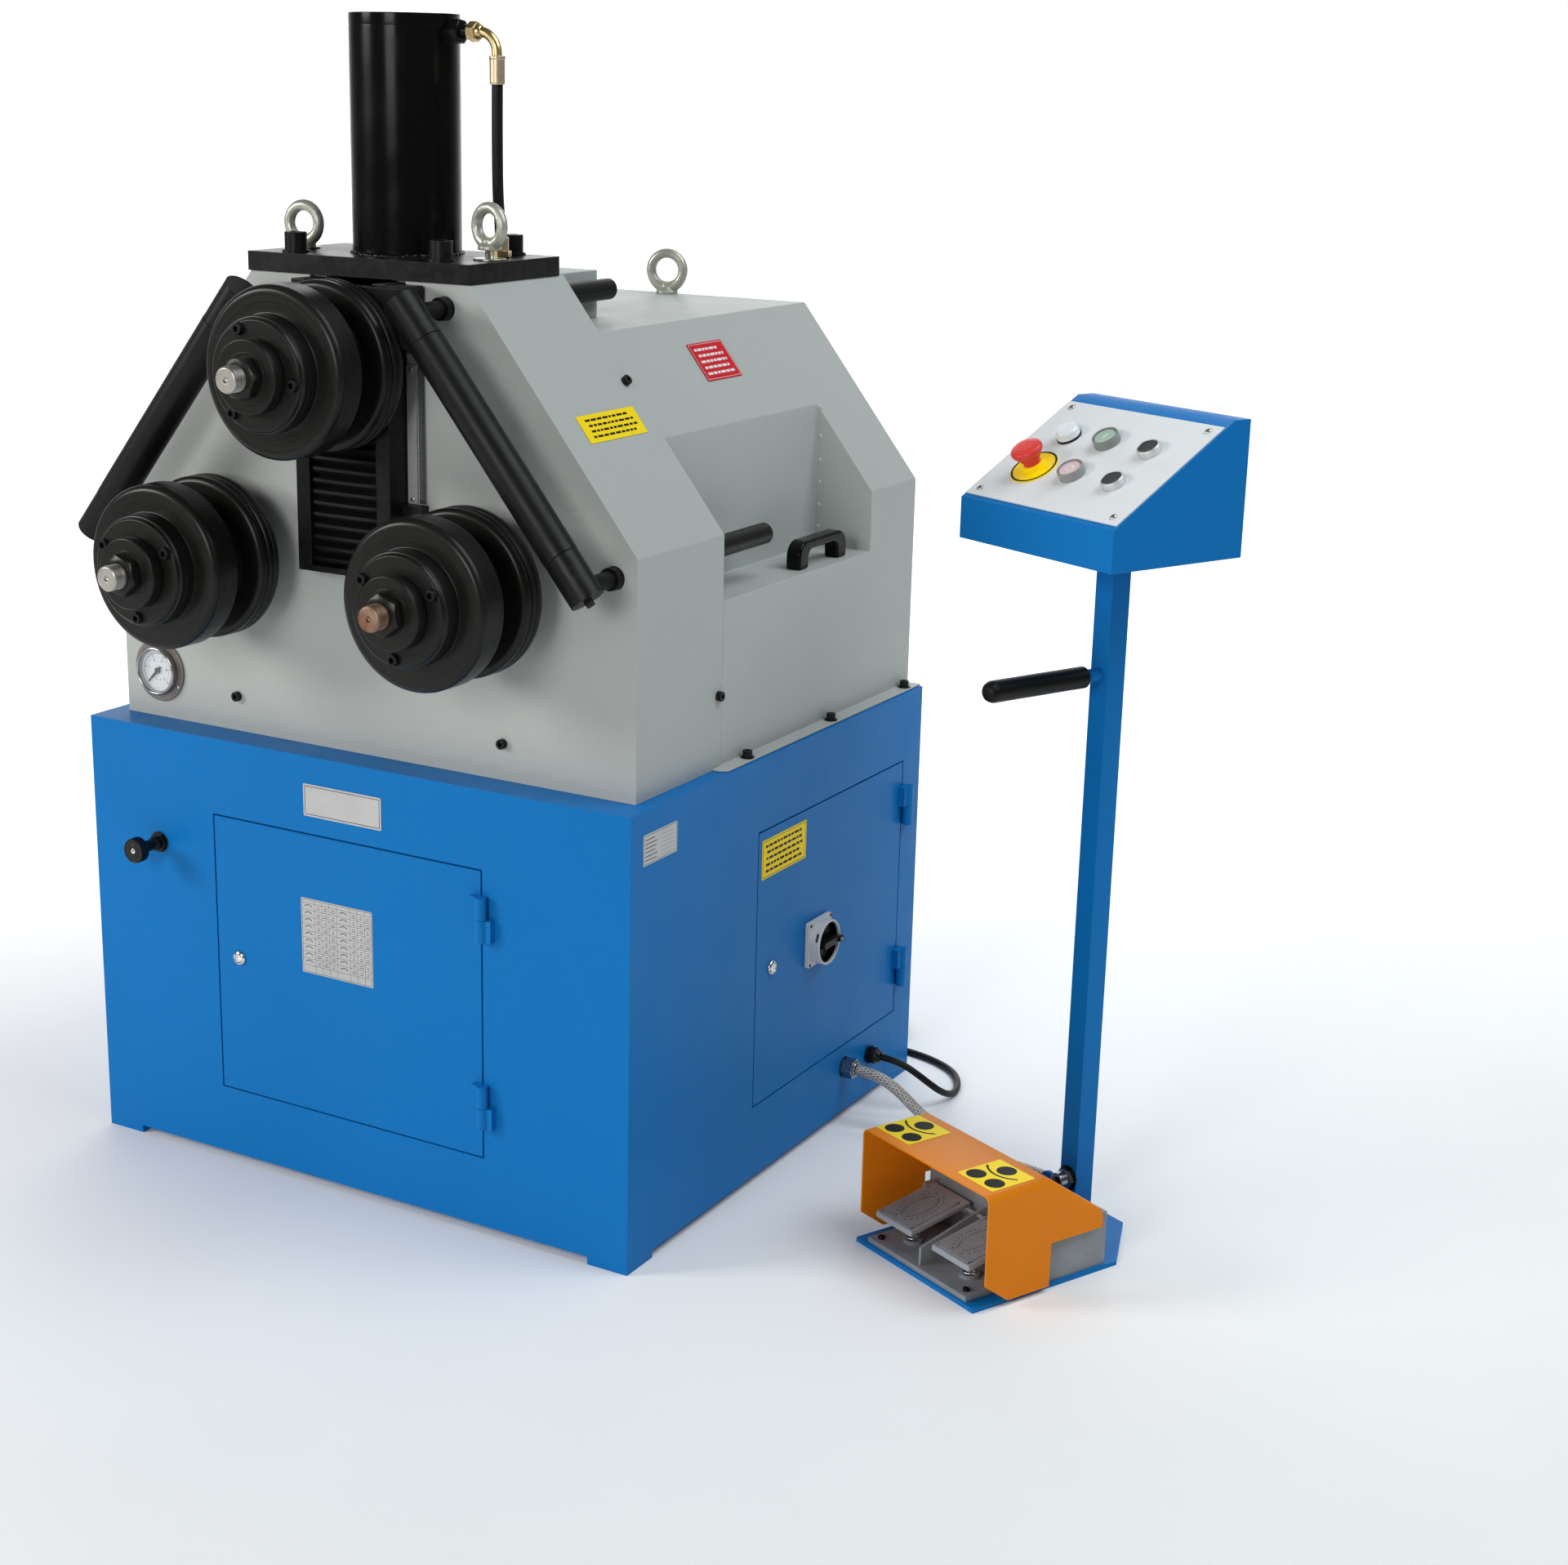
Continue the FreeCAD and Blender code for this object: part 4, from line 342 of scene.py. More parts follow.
def refined(node, mat, width=0.8, seg=2, angle=35.0, sharp=40.0, name=None, weld=1e-5, paint_faces=None):
    """The CAD node's own shape with flat faces merged and its edges rounded."""
    src = frame["nodes"][node].data
    bm = bmesh.new()
    bm.from_mesh(src)
    bmesh.ops.remove_doubles(bm, verts=bm.verts, dist=weld)
    bmesh.ops.dissolve_limit(bm, angle_limit=math.radians(0.6), verts=bm.verts, edges=bm.edges, delimit={"NORMAL"})
    if width:
        bevel(bm, width / 1000.0, seg, angle)
    mats = mat if isinstance(mat, (list, tuple)) else [mat]
    if paint_faces:
        bm.normal_update()
        for f in bm.faces:
            f.material_index = paint_faces(f)
    return link(name or node + "_look", to_mesh(bm, node, sharp), mats, node)


def lathe_mesh(prof, seg=128, close=False, sharp=30.0, name="Turned"):
    """A surface of revolution round Y: prof is (radius, y) in millimetres."""
    bm = bmesh.new()
    rings = []
    for r, y in prof:
        if r < 1e-6:
            rings.append([bm.verts.new((0, y / 1000.0, 0))])
        else:
            rings.append([bm.verts.new((r / 1000.0 * math.cos(2 * math.pi * i / seg), y / 1000.0, r / 1000.0 * math.sin(2 * math.pi * i / seg))) for i in range(seg)])
    pairs = list(zip(rings, rings[1:])) + ([(rings[-1], rings[0])] if close else [])
    for a, b in pairs:
        for i in range(seg):
            j = (i + 1) % seg
            if len(a) == 1 and len(b) == 1:
                continue
            if len(a) == 1:
                bm.faces.new((a[0], b[i], b[j]))
            elif len(b) == 1:
                bm.faces.new((a[i], b[0], a[j]))
            else:
                bm.faces.new((a[i], b[i], b[j], a[j]))
    bmesh.ops.recalc_face_normals(bm, faces=bm.faces)
    return bm


def rounded(prof, r=0.8, n=3):
    """The profile with each inner corner rounded by r (or r = 0 at a point
    written as (radius, y, 0))."""
    out = []
    for i, p in enumerate(prof):
        rr = p[2] if len(p) > 2 else r
        a = Vector(p[:2])
        if i in (0, len(prof) - 1) or rr <= 0:
            out.append(tuple(a))
            continue
        p0, p1 = Vector(prof[i - 1][:2]), Vector(prof[i + 1][:2])
        d0, d1 = (p0 - a), (p1 - a)
        k = min(rr, d0.length * 0.45, d1.length * 0.45)
        if k < 1e-4 or abs(d0.normalized().cross(d1.normalized())) < 0.05:
            out.append(tuple(a))
            continue
        s, e = a + d0.normalized() * k, a + d1.normalized() * k
        for t in range(n + 1):
            u = t / n
            out.append(tuple(s * (1 - u) ** 2 + a * 2 * u * (1 - u) + e * u * u))
    return out


def at(x, y, z, rot=None):
    return Matrix.Translation(P(x, y, z)) @ (rot.to_4x4() if rot is not None else Matrix())


def box_bm(x0, x1, y0, y1, z0, z1, bm=None):
    """A box in row-frame metres from millimetres behind the cabinet front."""
    bm = bm or bmesh.new()
    a, b = P(x0, y0, z0), P(x1, y1, z1)
    vs = [bm.verts.new((x, y, z)) for z in (a.z, b.z) for y in (a.y, b.y) for x in (a.x, b.x)]
    for f in ((0, 2, 3, 1), (4, 5, 7, 6), (0, 1, 5, 4), (2, 6, 7, 3), (0, 4, 6, 2), (1, 3, 7, 5)):
        bm.faces.new([vs[i] for i in f])
    return bm


def raw_box(bm, x0, x1, y0, y1, z0, z1, m=None, k=0.001):
    """A box in millimetres of a local frame, moved by m."""
    m = m or Matrix()
    vs = [bm.verts.new(m @ Vector((x * k, y * k, z * k))) for z in (z0, z1) for y in (y0, y1) for x in (x0, x1)]
    fs = []
    for f in ((0, 2, 3, 1), (4, 5, 7, 6), (0, 1, 5, 4), (2, 6, 7, 3), (0, 4, 6, 2), (1, 3, 7, 5)):
        fs.append(bm.faces.new([vs[i] for i in f]))
    return fs


def merge(a, b, m=None):
    """Adds bmesh b to bmesh a."""
    me = bpy.data.meshes.new("tmp")
    if m is not None:
        b.transform(m)
    b.to_mesh(me)
    b.free()
    a.from_mesh(me)
    bpy.data.meshes.remove(me)
    return a


# ------------------------------------------------------------------ cords
def nurbs(name, pts, radius, mat):
    cu = bpy.data.curves.new(name, "CURVE")
    cu.dimensions = "3D"
    sp = cu.splines.new("NURBS")
    sp.points.add(len(pts) - 1)
    for p, q in zip(sp.points, pts):
        p.co = (*q, 1.0)
    sp.order_u = 3
    sp.use_endpoint_u = True
    sp.resolution_u = 8
    cu.bevel_depth = radius
    cu.bevel_resolution = 6
    cu.use_fill_caps = True
    cu.materials.append(mat)
    o = bpy.data.objects.new(name, cu)
    col.objects.link(o)
    return o


def sampled(pts):
    """Points read from the route's own NURBS spline."""
    o = nurbs("route", pts, 0.0, m_rubber)
    o.data.bevel_depth = 0.0
    o.data.splines[0].resolution_u = 16
    dg = bpy.context.evaluated_depsgraph_get()
    me = bpy.data.meshes.new_from_object(o.evaluated_get(dg))
    line = [v.co.copy() for v in me.vertices]
    cu = o.data
    bpy.data.objects.remove(o)
    bpy.data.curves.remove(cu)
    bpy.data.meshes.remove(me)
    return line


def length(line):
    return sum((b - a).length for a, b in zip(line, line[1:]))


def sweep(line, radius, seg=24, name="tube", wave=None):
    """A tube mesh along line, with u in metres along it and v once round."""
    bm = bmesh.new()
    uvl = bm.loops.layers.uv.new("UVMap")
    n = len(line)
    tan = [(line[min(i + 1, n - 1)] - line[max(i - 1, 0)]).normalized() for i in range(n)]
    nrm = tan[0].orthogonal().normalized()
    rings, us, d = [], [], 0.0
    for i, p in enumerate(line):
        if i:
            d += (p - line[i - 1]).length
            nrm = (nrm - tan[i] * nrm.dot(tan[i])).normalized()
        bi = tan[i].cross(nrm)
        r = radius * (1.0 + (wave(d) if wave else 0.0))
        rings.append([bm.verts.new(p + (nrm * math.cos(2 * math.pi * k / seg) + bi * math.sin(2 * math.pi * k / seg)) * r) for k in range(seg)])
        us.append(d)
    for i in range(n - 1):
        for k in range(seg):
            j = (k + 1) % seg
            f = bm.faces.new((rings[i][k], rings[i][j], rings[i + 1][j], rings[i + 1][k]))
            for lp, uv in zip(f.loops, ((us[i], k / seg), (us[i], (k + 1) / seg), (us[i + 1], (k + 1) / seg), (us[i + 1], k / seg))):
                lp[uvl].uv = uv
    bm.faces.new(list(reversed(rings[0])))
    bm.faces.new(rings[-1])
    bmesh.ops.recalc_face_normals(bm, faces=bm.faces)
    return to_mesh(bm, name, 60.0)


HOSE = [P(*p) for p in ((140, 150, 1447), (139.5, 150, 1405), (138, 152, 1350), (135, 157, 1305), (130, 168, 1275), (128, 172, 1247.5))]
hose_line = sampled(HOSE)
hose = nurbs("hydraulic_hose_look", HOSE, 0.007, m_rubber)
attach(hose, "machine")
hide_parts("hydraulic_hose")

TH = math.radians(-25.0)
CT, ST = math.cos(TH), math.sin(TH)
SX, SY = 838.0, 478.0


def stand_pt(r, s, z):
    return (SX + r * CT - s * ST, SY + r * ST + s * CT, z)


CONDUIT = [P(*p) for p in ((456, 584, 78), (481, 584.3, 76.8), (505, 586, 68.5), (527, 588.5, 53.5), (549, 590.5, 35), (575, 590, 20.2), (606, 583.5, 11.4), (640, 571, 8.5),
                           (678, 554.5, 8.7), (716, 538, 12.8), (750, 522.5, 19.8), (780, 508, 24.5), stand_pt(-38, 0, 26))]
con_line = sampled(CONDUIT)
conduit = bpy.data.objects.new("control_conduit_look", sweep(con_line, 0.008, 28, "control_conduit"))
conduit.data.materials.append(m_braid)
col.objects.link(conduit)
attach(conduit, "machine")
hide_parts("control_conduit")

MAINS = [(457, 659, 72), (479, 659.6, 70.6), (498, 663, 63.5), (513.5, 669.5, 52), (527, 679, 38.5), (536, 693, 25), (540, 711.5, 14.2), (540, 733, 6.8),
         (536, 756.5, 5.3), (526.5, 779, 5.5), (513.5, 800, 5.3), (497, 816, 5.5), (477, 829, 5.3), (453, 839, 5.5), (426, 846.5, 5.3), (396, 849.5, 5.5), (364, 851.5, 5.3),
         (334, 852, 5.3)]
turns = [(60, 5.4), (50, 5.4), (50, 15.4), (60, 15.4), (50, 25.4), (60, 25.4), (60, 35.2)]
pts = list(MAINS)
per = 16
for i, (r, z) in enumerate(turns):
    r2, z2 = turns[i + 1] if i + 1 < len(turns) else (r, 31.0)
    for k in range(per):
        t = k / per
        e = max(0.0, (t - 0.72) / 0.28)
        e = e * e * (3 - 2 * e)
        rr, zz = r + (r2 - r) * e, z + (z2 - z) * e
        a = math.radians(-90.0) - 2 * math.pi * t
        grow = 1.0 / math.cos(math.pi / per) ** 0.5
        pts.append((300 + rr * grow * math.cos(a), 912 + rr * grow * math.sin(a), zz))
pts += [(298, 852, 29.5), (270, 852.5, 28.0), (241.2, 852, 27.3)]
MAINS_ALL = [P(*p) for p in pts]
mains_line = sampled(MAINS_ALL)
mains = nurbs("mains_cable_look", MAINS_ALL, 0.005, m_rubber)
mains.data.bevel_resolution = 4
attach(mains, "machine")
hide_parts("mains_cable", "mains_coil")
print("cord lengths", length(hose_line), length(con_line), length(mains_line))

# ------------------------------------------------------------------ light and floor
world = bpy.data.worlds.new("World")
bpy.context.scene.world = world
world.use_nodes = True
bg = world.node_tree.nodes["Background"]
bg.inputs[0].default_value = (1.0, 1.0, 1.0, 1.0)
bg.inputs[1].default_value = 0.10


def area(name, loc, target, size, energy, color=(1, 1, 1), size_y=None):
    d = bpy.data.lights.new(name, "AREA")
    d.energy, d.color, d.size = energy, color, size
    if size_y:
        d.shape, d.size_y = "RECTANGLE", size_y
    o = bpy.data.objects.new(name, d)
    col.objects.link(o)
    o.location = loc
    o.rotation_euler = (Vector(target) - Vector(loc)).to_track_quat("-Z", "Y").to_euler()
    return o


area("Sky", (2.5, 0.3, 4.0), (0.2, 0.0, 0.6), 3.0, 116.0, (0.88, 0.96, 1.0))
area("Left", (-3.4, -3.4, 2.4), (0.0, 0.0, 0.8), 1.6, 122.0, (1.0, 0.985, 0.97))
area("Front", (0.6, -5.0, 2.2), (0.2, 0.0, 0.7), 1.6, 86.0)
area("Backdrop", Matrix.Rotation(AZ, 4, "Z") @ Vector((0.0, 3.2, 5.4)), Matrix.Rotation(AZ, 4, "Z") @ Vector((0.0, 8.0, 1.6)), 6.0, 520.0)

# a pale floor that rises far behind, so that it has no horizon
fbm = bmesh.new()
prof = [(-9.0, 0.0), (5.0, 0.0)] + [(5.0 + 3.0 * math.sin(math.radians(a)), 3.0 - 3.0 * math.cos(math.radians(a))) for a in range(6, 91, 6)] + [(8.0, 12.0)]
fm = Matrix.Rotation(AZ, 4, "Z")
rowa = [fbm.verts.new(fm @ Vector((-16.0, y, z))) for y, z in prof]
rowb = [fbm.verts.new(fm @ Vector((16.0, y, z))) for y, z in prof]
for i in range(len(prof) - 1):
    fbm.faces.new((rowa[i], rowb[i], rowb[i + 1], rowa[i + 1]))
floor = bpy.data.objects.new("Floor", to_mesh(fbm, "Floor", 60))
col.objects.link(floor)
tf = Tree("pale_floor")
tf.finish(Base_Color=tf.mix(tf.span(tf.noise(3.0, 4.0), 0.3, 0.7, 0.0, 1.0), (0.90, 0.90, 0.90), (0.92, 0.92, 0.918)), Roughness=0.8)
floor.data.materials.append(tf.m)

# ------------------------------------------------------------------ more mesh tools
def boolean(a, b, op="DIFFERENCE"):
    """a with b taken away (or kept in common), both bmesh; both are used up."""
    obs = []
    for i, m in enumerate((a, b)):
        me = bpy.data.meshes.new("bool%d" % i)
        m.normal_update()
        m.to_mesh(me)
        m.free()
        o = bpy.data.objects.new("bool%d" % i, me)
        col.objects.link(o)
        obs.append(o)
    md = obs[0].modifiers.new("B", "BOOLEAN")
    md.object, md.operation, md.solver = obs[1], op, "EXACT"
    dg = bpy.context.evaluated_depsgraph_get()
    out = bpy.data.meshes.new_from_object(obs[0].evaluated_get(dg))
    bm = bmesh.new()
    bm.from_mesh(out)
    bpy.data.meshes.remove(out)
    for o in obs:
        me = o.data
        bpy.data.objects.remove(o)
        bpy.data.meshes.remove(me)
    bmesh.ops.remove_doubles(bm, verts=bm.verts, dist=1e-6)
    return bm


def toward(p, d):
    """The matrix that takes the local Y axis at the origin to direction d at p."""
    return Matrix.Translation(p) @ Vector((0, 1, 0)).rotation_difference(Vector(d)).to_matrix().to_4x4()


def prism_bm(pts, d0, d1, plane="xz", holes=()):
    """An outline in millimetres, drawn out from d0 to d1 along the third axis."""
    bm = bmesh.new()

    def v(a, b, d):
        c = {"xz": (a, d, b), "xy": (a, b, d), "yz": (d, a, b)}[plane]
        return bm.verts.new(Vector(c) * 0.001)
    lo, hi = [v(a, b, d0) for a, b in pts], [v(a, b, d1) for a, b in pts]
    bm.faces.new(lo)
    bm.faces.new(list(reversed(hi)))
    n = len(pts)
    for i in range(n):
        j = (i + 1) % n
        bm.faces.new((lo[i], lo[j], hi[j], hi[i]))
    bmesh.ops.recalc_face_normals(bm, faces=bm.faces)
    return bm


def hex_pts(af, turn=0.0):
    r = af / math.sqrt(3.0)
    return [(r * math.cos(math.radians(60 * i + turn)), r * math.sin(math.radians(60 * i + turn))) for i in range(6)]


def arc_pts(cx, cy, r, a0, a1, n):
    return [(cx + r * math.cos(math.radians(a0 + (a1 - a0) * i / n)), cy + r * math.sin(math.radians(a0 + (a1 - a0) * i / n))) for i in range(n + 1)]


def hex_nut(af, h, chamfer=1.6, turn=0.0):
    """Hexagon about Y from y=0 to y=h with its corners turned off at both ends."""
    r = af / math.sqrt(3.0)
    turned_bm = lathe_mesh([(0, 0), (r - chamfer * 1.9, 0), (r + 0.3, chamfer * 1.2), (r + 0.3, h - chamfer * 1.2), (r - chamfer * 1.9, h), (0, h)], 72)
    return boolean(prism_bm(hex_pts(af, turn), 0, h), turned_bm, "INTERSECT")


def socket_head(r, h, af, depth, seg=40):
    """Cap screw head about Y: seat at y=0, top at y=-h, with a hexagon socket."""
    bm = lathe_mesh(rounded([(0, 0), (r, 0, 0), (r, -h, min(1.0, r * 0.14)), (0, -h)]), seg)
    return boolean(bm, prism_bm(hex_pts(af, 15), -h - 1, -h + depth))


def washer(r, h, hole=0.0, seg=48):
    return lathe_mesh(rounded([(hole, 0, 0), (r, 0, 0), (r, -h, 0.4), (hole, -h, 0)]), seg)


def piece(name, bm, mat, body="machine", node=None, place=None, sharp=35.0, weighted=True):
    o = link(name, to_mesh(bm, name, sharp), mat, node, body, place, weighted)
    return o


def tube_bm(line, r, seg=20):
    me = sweep(line, r, seg, "t")
    bm = bmesh.new()
    bm.from_mesh(me)
    bpy.data.meshes.remove(me)
    return bm


def refine_at(node, mat, origin, **kw):
    """refined, with the object's own origin moved onto an axis."""
    o = refined(node, mat, **kw)
    o.data.transform(Matrix.Translation(-origin))
    o.matrix_world = Matrix.Translation(origin)
    return o


RZ = Matrix.Rotation(math.radians(90), 4, "X")
STM = Matrix.Translation(P(SX, SY, 0)) @ Matrix.Rotation(TH, 4, "Z")
PANEL_TILT = math.atan2(116.0, 187.0)
PM = STM @ Matrix.Translation((0, -0.137, 0.953)) @ Matrix.Rotation(PANEL_TILT, 4, "X")

# ------------------------------------------------------------------ cabinet
refined("cabinet_shell", m_blue, 1.4, 3)
refined("front_door", m_blue, 0.9, 2)
refined("side_door", m_blue, 0.9, 2)


def lock_look(node, body, p, d):
    """Chrome cam lock: domed ring, plug with a key slot."""
    m = toward(p, d)
    ring = lathe_mesh([(6.3, 0.2), (9.6, 0.2), (10.0, 0.8), (9.9, 1.8), (9.1, 3.0), (7.6, 3.9), (6.6, 4.1), (6.3, 3.7)], 64, close=True)
    o = piece(node + "_ring", ring, m_chrome, body, node, m)
    plug = boolean(lathe_mesh([(0, 3.2), (5.4, 3.2), (6.1, 2.6), (6.1, -6.0), (0, -6.0)], 48), prism_bm([(-0.7, -3.6), (0.7, -3.6), (0.7, 3.6), (-0.7, 3.6)], 1.4, 6.0))
    piece(node + "_plug", plug, m_chrome, body, node, m)
    cam_bm = prism_bm([(-7, -8), (7, -8), (7, 26), (4, 30), (-4, 30), (-7, 26)], -17.0, -14.5)
    bevel(cam_bm, 0.0004, 1)
    stem = lathe_mesh([(0, -14.6), (4.8, -14.6), (4.8, -6.1), (0, -6.1)], 32)
    merge(cam_bm, stem)
    merge(cam_bm, hex_nut(11, 4, 0.8), Matrix.Translation((0, -0.021, 0)))
    piece(node + "_cam", cam_bm, m_zinc, body, node, m)


def glass_material():
    t = Tree("gauge_glass")
    c = t.mix(t.span(t.noise(9.0, 2.0), 0.3, 0.7, 0.0, 1.0), (0.90, 0.93, 0.95), (0.97, 0.98, 1.0))
    t.finish(Base_Color=c, Roughness=0.05, Alpha=0.07)
    return t.m


def chrome_material():
    t = Tree("polished_chrome")
    c = t.mix(t.span(t.noise(60.0, 4.0), 0.35, 0.7, 0.0, 1.0), (0.66, 0.66, 0.65), (0.80, 0.80, 0.79))
    return t.finish(Base_Color=c, Roughness=t.span(t.noise(30.0, 3.0), 0.3, 0.7, 0.15, 0.22), Metallic=1.0)


m_glass = glass_material()
m_chrome = chrome_material()
lock_look("front_door_lock", "front_lock", P(-183.5, 0, 300), (0, -1, 0))
lock_look("side_door_lock", "side_lock", P(434, 357.5, 301), (1, 0, 0))


def label(name, m, w, h, mat, body, border=None, r=1.5, thick=0.5):
    """A thin plate in the local XY plane of m, with rounded corners."""
    pts = []
    for cx, cy, a in ((w / 2 - r, h / 2 - r, 0), (-w / 2 + r, h / 2 - r, 90), (-w / 2 + r, -h / 2 + r, 180), (w / 2 - r, -h / 2 + r, 270)):
        pts += arc_pts(cx, cy, r, a, a + 90, 4)
    bm = prism_bm(pts, 0.0, thick, "xy")
    bevel(bm, 0.00012, 1)
    piece(name, bm, mat, body, place=m)
    if border:
        e, t, mat2 = border
        bb = bmesh.new()
        for x0, x1, y0, y1 in ((-w / 2 + e, w / 2 - e, h / 2 - e - t, h / 2 - e), (-w / 2 + e, w / 2 - e, -h / 2 + e, -h / 2 + e + t),
                               (-w / 2 + e, -w / 2 + e + t, -h / 2 + e + t, h / 2 - e - t), (w / 2 - e - t, w / 2 - e, -h / 2 + e + t, h / 2 - e - t)):
            raw_box(bb, x0, x1, y0, y1, thick - 0.02, thick + 0.05)
        piece(name + "_border", bb, mat2, body, place=m)


def frame_m(p, u, v):
    u, v = Vector(u).normalized(), Vector(v).normalized()
    n = u.cross(v)
    return Matrix.Translation(p) @ Matrix((u, v, n)).transposed().to_4x4()


label("badge_plate", frame_m(P(-3, 0, 541.7), (1, 0, 0), (0, 0, 1)), 126, 43.5, m_plate, "machine", (2.5, 0.8, m_ink), 2.0, 0.8)
mc_ = frame_m(P(-16.5, 0, 355), (1, 0, 0), (0, 0, 1))
label("chart_plate", mc_, 117, 104, m_plate, "front_door", (1.5, 0.5, m_ink), 1.5, 0.5)
cb = bmesh.new()
for i in range(1, 11):
    z = 52 - 1.5 - 5 - (i - 1) * 9.6
    raw_box(cb, -56.5, 56.5, z - 0.2, z + 0.2, 0.48, 0.54)
for x in (-36, -24, -12, 0.5, 22, 34, 46):
    raw_box(cb, x - 0.2, x + 0.2, -50.2, 50.2, 0.48, 0.54)
for i in range(9):
    z = 52 - 1.5 - 10 - i * 9.6
    for x0 in (-46.5, 11.5):
        pts = arc_pts(x0, z - 5.2, 8.2, 40, 140, 10) + arc_pts(x0, z - 5.2, 7.2, 140, 40, 10)
        merge(cb, prism_bm(pts, 0.48, 0.54, "xy"))
    for x0 in (-30, -18, -6, 28, 40, 51):
        w = 2.0 + ((i * 7 + int(x0)) % 5) * 0.45
        raw_box(cb, x0 - w, x0 + w, z - 1.9, z - 1.1, 0.48, 0.53)
        raw_box(cb, x0 - w * 0.7, x0 + w, z + 1.1, z + 1.8, 0.48, 0.53)
piece("chart_lines", cb, m_ink, "front_door", place=mc_)
label("rating_plate", frame_m(P(434, 66.7, 551.3), (0, 1, 0), (0, 0, 1)), 78.5, 39.5, m_plate, "machine", (1.5, 0.5, m_ink), 1.5, 0.7)
rb_ = bmesh.new()
for i in range(6):
    z = 12.5 - i * 5.2
    raw_box(rb_, -35, -35 + 22 + (i * 5) % 7, z - 0.5, z + 0.5, 0.68, 0.73)
    raw_box(rb_, 2, 34, z - 1.3, z - 1.0, 0.68, 0.73)
piece("rating_plate_lines", rb_, m_ink, "machine", place=frame_m(P(434, 66.7, 551.3), (0, 1, 0), (0, 0, 1)))
label("side_label_plate", frame_m(P(434, 385, 459), (0, 1, 0), (0, 0, 1)), 122, 54, m_yellow, "side_door", (2.0, 0.8, m_ink), 1.5, 0.4)
sl_v = Vector((-24.1, 0, 30.4)).normalized()
label("slope_label_plate", frame_m(P(300.5, 160, 1039.0) + Vector((0.0004, 0, 0.0003)), (0, 1, 0), sl_v), 128, 38.4, m_yellow, "machine", None, 1.5, 0.5)
label("hood_label_plate", frame_m(P(262.65, 469.7, 1087.0) + Vector((0.0006, 0, 0.0005)), (0, 1, 0), sl_v), 88.5, 57.5, m_redlabel, "machine", (2.0, 0.5, m_whiteink), 1.5, 0.5)



def strokes(name, m, w, h, rows, mat, body, top=0.4, frac=0.86, seed=1):
    """Rows of short plain bars, in place of print."""
    rnd = random.Random(seed)
    bb = bmesh.new()
    step = h * 0.8 / rows
    for i in range(rows):
        y = h * 0.4 - (i + 0.5) * step
        x = -w * frac / 2 + rnd.uniform(0, w * 0.06)
        end = w * frac / 2 - rnd.uniform(0, w * 0.10)
        while x < end - 3:
            ln = min(rnd.uniform(5.0, 12.0), end - x)
            raw_box(bb, x, x + ln, y - step * 0.2, y + step * 0.2, top - 0.02, top + 0.05)
            x += ln + 2.2
    piece(name, bb, mat, body, place=m)


strokes("side_label_strokes", frame_m(P(434, 385, 459), (0, 1, 0), (0, 0, 1)), 122, 54, 5, m_ink, "side_door", 0.4, 0.88, 3)
strokes("slope_label_strokes", frame_m(P(300.5, 160, 1039.0) + Vector((0.0004, 0, 0.0003)), (0, 1, 0), sl_v), 128, 38.4, 4, m_ink, "machine", 0.5, 0.86, 5)
strokes("hood_label_strokes", frame_m(P(262.65, 469.7, 1087.0) + Vector((0.0006, 0, 0.0005)), (0, 1, 0), sl_v), 88.5, 57.5, 5, m_whiteink, "machine", 0.5, 0.80, 8)

# speed valve: knurled wheel on a spindle
kn = []
for i in range(144):
    a = 2 * math.pi * i / 144
    kn.append(((16.6 + 0.4 * math.cos(a * 36)) * math.cos(a), (16.6 + 0.4 * math.cos(a * 36)) * math.sin(a)))
kb = prism_bm(kn, -52, -38.5)
bevel(kb, 0.0008, 2, 60)
piece("valve_wheel_rim", kb, m_plastic, "speed_valve", "valve_knob", at(-318, 0, 440), sharp=50)
vf = lathe_mesh(rounded([(3.9, -51.6), (4.6, -52.7), (8.4, -52.7), (9.4, -52.2), (14.6, -52.2), (15.3, -52.9), (16.0, -52.3), (16.0, -51.0), (3.9, -51.0)], 0.3), 96, close=True)
piece("valve_wheel_face", vf, m_plastic, "speed_valve", "valve_knob", at(-318, 0, 440))
vs = boolean(lathe_mesh(rounded([(0, -50.5), (3.8, -50.5, 0), (3.8, -52.4, 0.6), (0, -53.6)]), 40), prism_bm([(-0.5, -4), (0.5, -4), (0.5, 4), (-0.5, 4)], -54, -52.6))
piece("valve_wheel_screw", vs, m_chrome, "speed_valve", "valve_knob", at(-318, 0, 440))
vn = lathe_mesh(rounded([(0, -39), (10.5, -38.6), (10.2, -36.5), (8.0, -34), (7.4, -15), (9.4, -12.5), (9.4, -7.0), (4.0, -6.5), (4.0, -1), (0, -1)], 0.8), 64)
piece("valve_wheel_neck", vn, m_plastic, "speed_valve", "valve_knob", at(-318, 0, 440))
vb = merge(lathe_mesh(rounded([(4.1, -0.05, 0), (14.5, -0.05, 0), (14.5, -1.6, 0.5), (4.1, -1.6, 0)]), 64, close=True), boolean(hex_nut(24, 4.4, 1.0), lathe_mesh([(0, -1), (4.1, -1), (4.1, 6), (0, 6)], 32)),
           Matrix.Translation((0, -0.006, 0)))
piece("valve_seat", vb, m_plastic, "machine", "cable_glands", at(-318, 0, 440))

